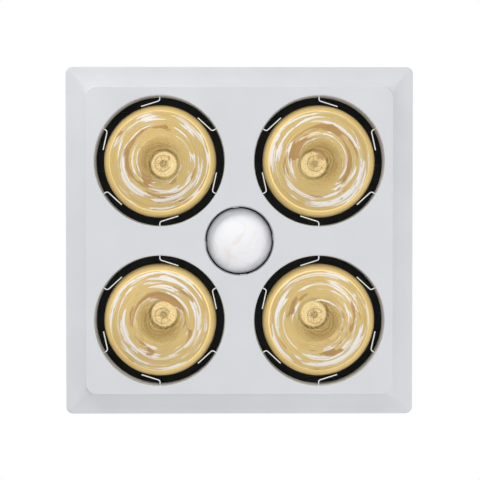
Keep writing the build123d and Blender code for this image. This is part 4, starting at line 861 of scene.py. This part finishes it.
def refined(node, edge=0.0):
    """A merged copy of a CAD node: whole flat faces, smooth round ones and, where asked, eased edges."""
    piece = linked_object(node + "_shown", cad[node].data.copy())
    activate(piece)
    bpy.ops.object.mode_set(mode="EDIT")
    bpy.ops.mesh.select_all(action="SELECT")
    bpy.ops.mesh.remove_doubles(threshold=cad_weld)
    bpy.ops.mesh.dissolve_limited(angle_limit=flat_angle)
    bpy.ops.object.mode_set(mode="OBJECT")
    if edge:
        ease = piece.modifiers.new("ease", "BEVEL")
        ease.width = edge
        ease.segments = 2
        ease.limit_method = "ANGLE"
        ease.angle_limit = corner_angle
        ease.use_clamp_overlap = True
        apply_modifiers(piece)
    shade_round(piece)
    return piece


eased = {
    "housing": 0.3 * mm, "heat_shield": 0.25 * mm, "terminal_box": 0.4 * mm, "terminal_cover": 0.4 * mm,
    "fan_cover": 0.3 * mm, "motor_stator": 0.3 * mm, "motor_bracket_lower": 0.3 * mm,
    "motor_bracket_upper": 0.3 * mm, "centre_holder_bracket": 0.3 * mm, "fascia_clips": 0.15 * mm,
    "terminal_block": 0.4 * mm, "motor_coil": 0.8 * mm,
}
hidden = {node for piece in bpy.data.objects for node in piece.get("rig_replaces", [])}
for node in sorted(set(cad) - hidden):
    slot = slot_of[node]
    dress(refined(node, eased.get(node, 0.0)), finishes[slot], cad[node]["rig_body"], slot, node)


# Room, light and camera

floor_size = 14
floor_z = -2.3
blotch_size = 0.8
sensor_width = 36


def add_floor():
    """Pale floor, far below the ceiling that carries the heater."""
    deselect()
    bpy.ops.mesh.primitive_plane_add(size=floor_size, location=(0, 0, floor_z))
    floor = bpy.context.object
    floor.name = "floor"
    material, tree, shader, place = new_material("pale_floor")
    colour = use_group(tree, mottle, Place=place, Size=blotch_size, Dark=tint(223, 223, 223),
                       Light=tint(229, 229, 229))
    tree.links.new(colour["Colour"], shader.inputs["Base Color"])
    shader.inputs["Roughness"].default_value = 0.8
    path = add_node(tree, "ShaderNodeLightPath").outputs
    mirrored = math_node(tree, "MAXIMUM", path["Is Glossy Ray"], path["Is Transmission Ray"])
    shader.inputs["Emission Color"].default_value = (1, 1, 1, 1)
    tree.links.new(mirrored, shader.inputs["Emission Strength"])
    floor.data.materials.append(material)


def add_softbox(name, place, size, power, glossy=True):
    """A square soft light aimed at the middle of the fascia."""
    light = bpy.data.lights.new(name, "AREA")
    light.shape = "SQUARE"
    light.size = size
    light.energy = power
    softbox = linked_object(name, light)
    softbox.location = place
    softbox.rotation_euler = (-Vector(place)).to_track_quat("-Z", "Y").to_euler()
    softbox.visible_camera = False
    softbox.visible_glossy = glossy


def set_world(seen, given):
    """A white surround for the camera and for gloss and glass, and a plain level of light on the object."""
    world = bpy.data.worlds.new("studio")
    bpy.context.scene.world = world
    world.use_nodes = True
    tree = world.node_tree
    path = add_node(tree, "ShaderNodeLightPath").outputs
    direct = math_node(tree, "MAXIMUM", path["Is Camera Ray"], path["Is Glossy Ray"])
    shown = math_node(tree, "MAXIMUM", direct, path["Is Transmission Ray"])
    strength = spread(tree, shown, given, seen)
    background = tree.nodes["Background"]
    background.inputs["Color"].default_value = (1, 1, 1, 1)
    tree.links.new(strength, background.inputs["Strength"])


def add_camera(place, aim, lens):
    """The camera below the ceiling, looking up, with the front of the heater at the top of the picture."""
    forward = (Vector(aim) - Vector(place)).normalized()
    right = Vector((1, 0, 0))
    right = (right - forward * right.dot(forward)).normalized()
    up = right.cross(forward)
    turn = Matrix((right, up, -forward)).transposed()
    camera = linked_object("camera", bpy.data.cameras.new("camera"))
    camera.data.lens = lens
    camera.data.sensor_width = sensor_width
    camera.data.clip_start = 10 * mm
    camera.matrix_world = Matrix.Translation(place) @ turn.to_4x4()
    bpy.context.scene.camera = camera


add_floor()
set_world(seen=1.0, given=0.755)
add_softbox("key", place=(-0.9, -1.5, -0.75), size=0.9, power=17, glossy=False)
add_softbox("fill", place=(1.2, 0.9, -0.9), size=0.9, power=8, glossy=False)
add_softbox("roof", place=(-0.8, -1.0, 2.2), size=1.6, power=30)
add_camera(place=(-0.010, -0.031, -1.40), aim=(0.0006, -0.0011, -0.018), lens=94.2)
bpy.context.scene.view_settings.view_transform = "Standard"
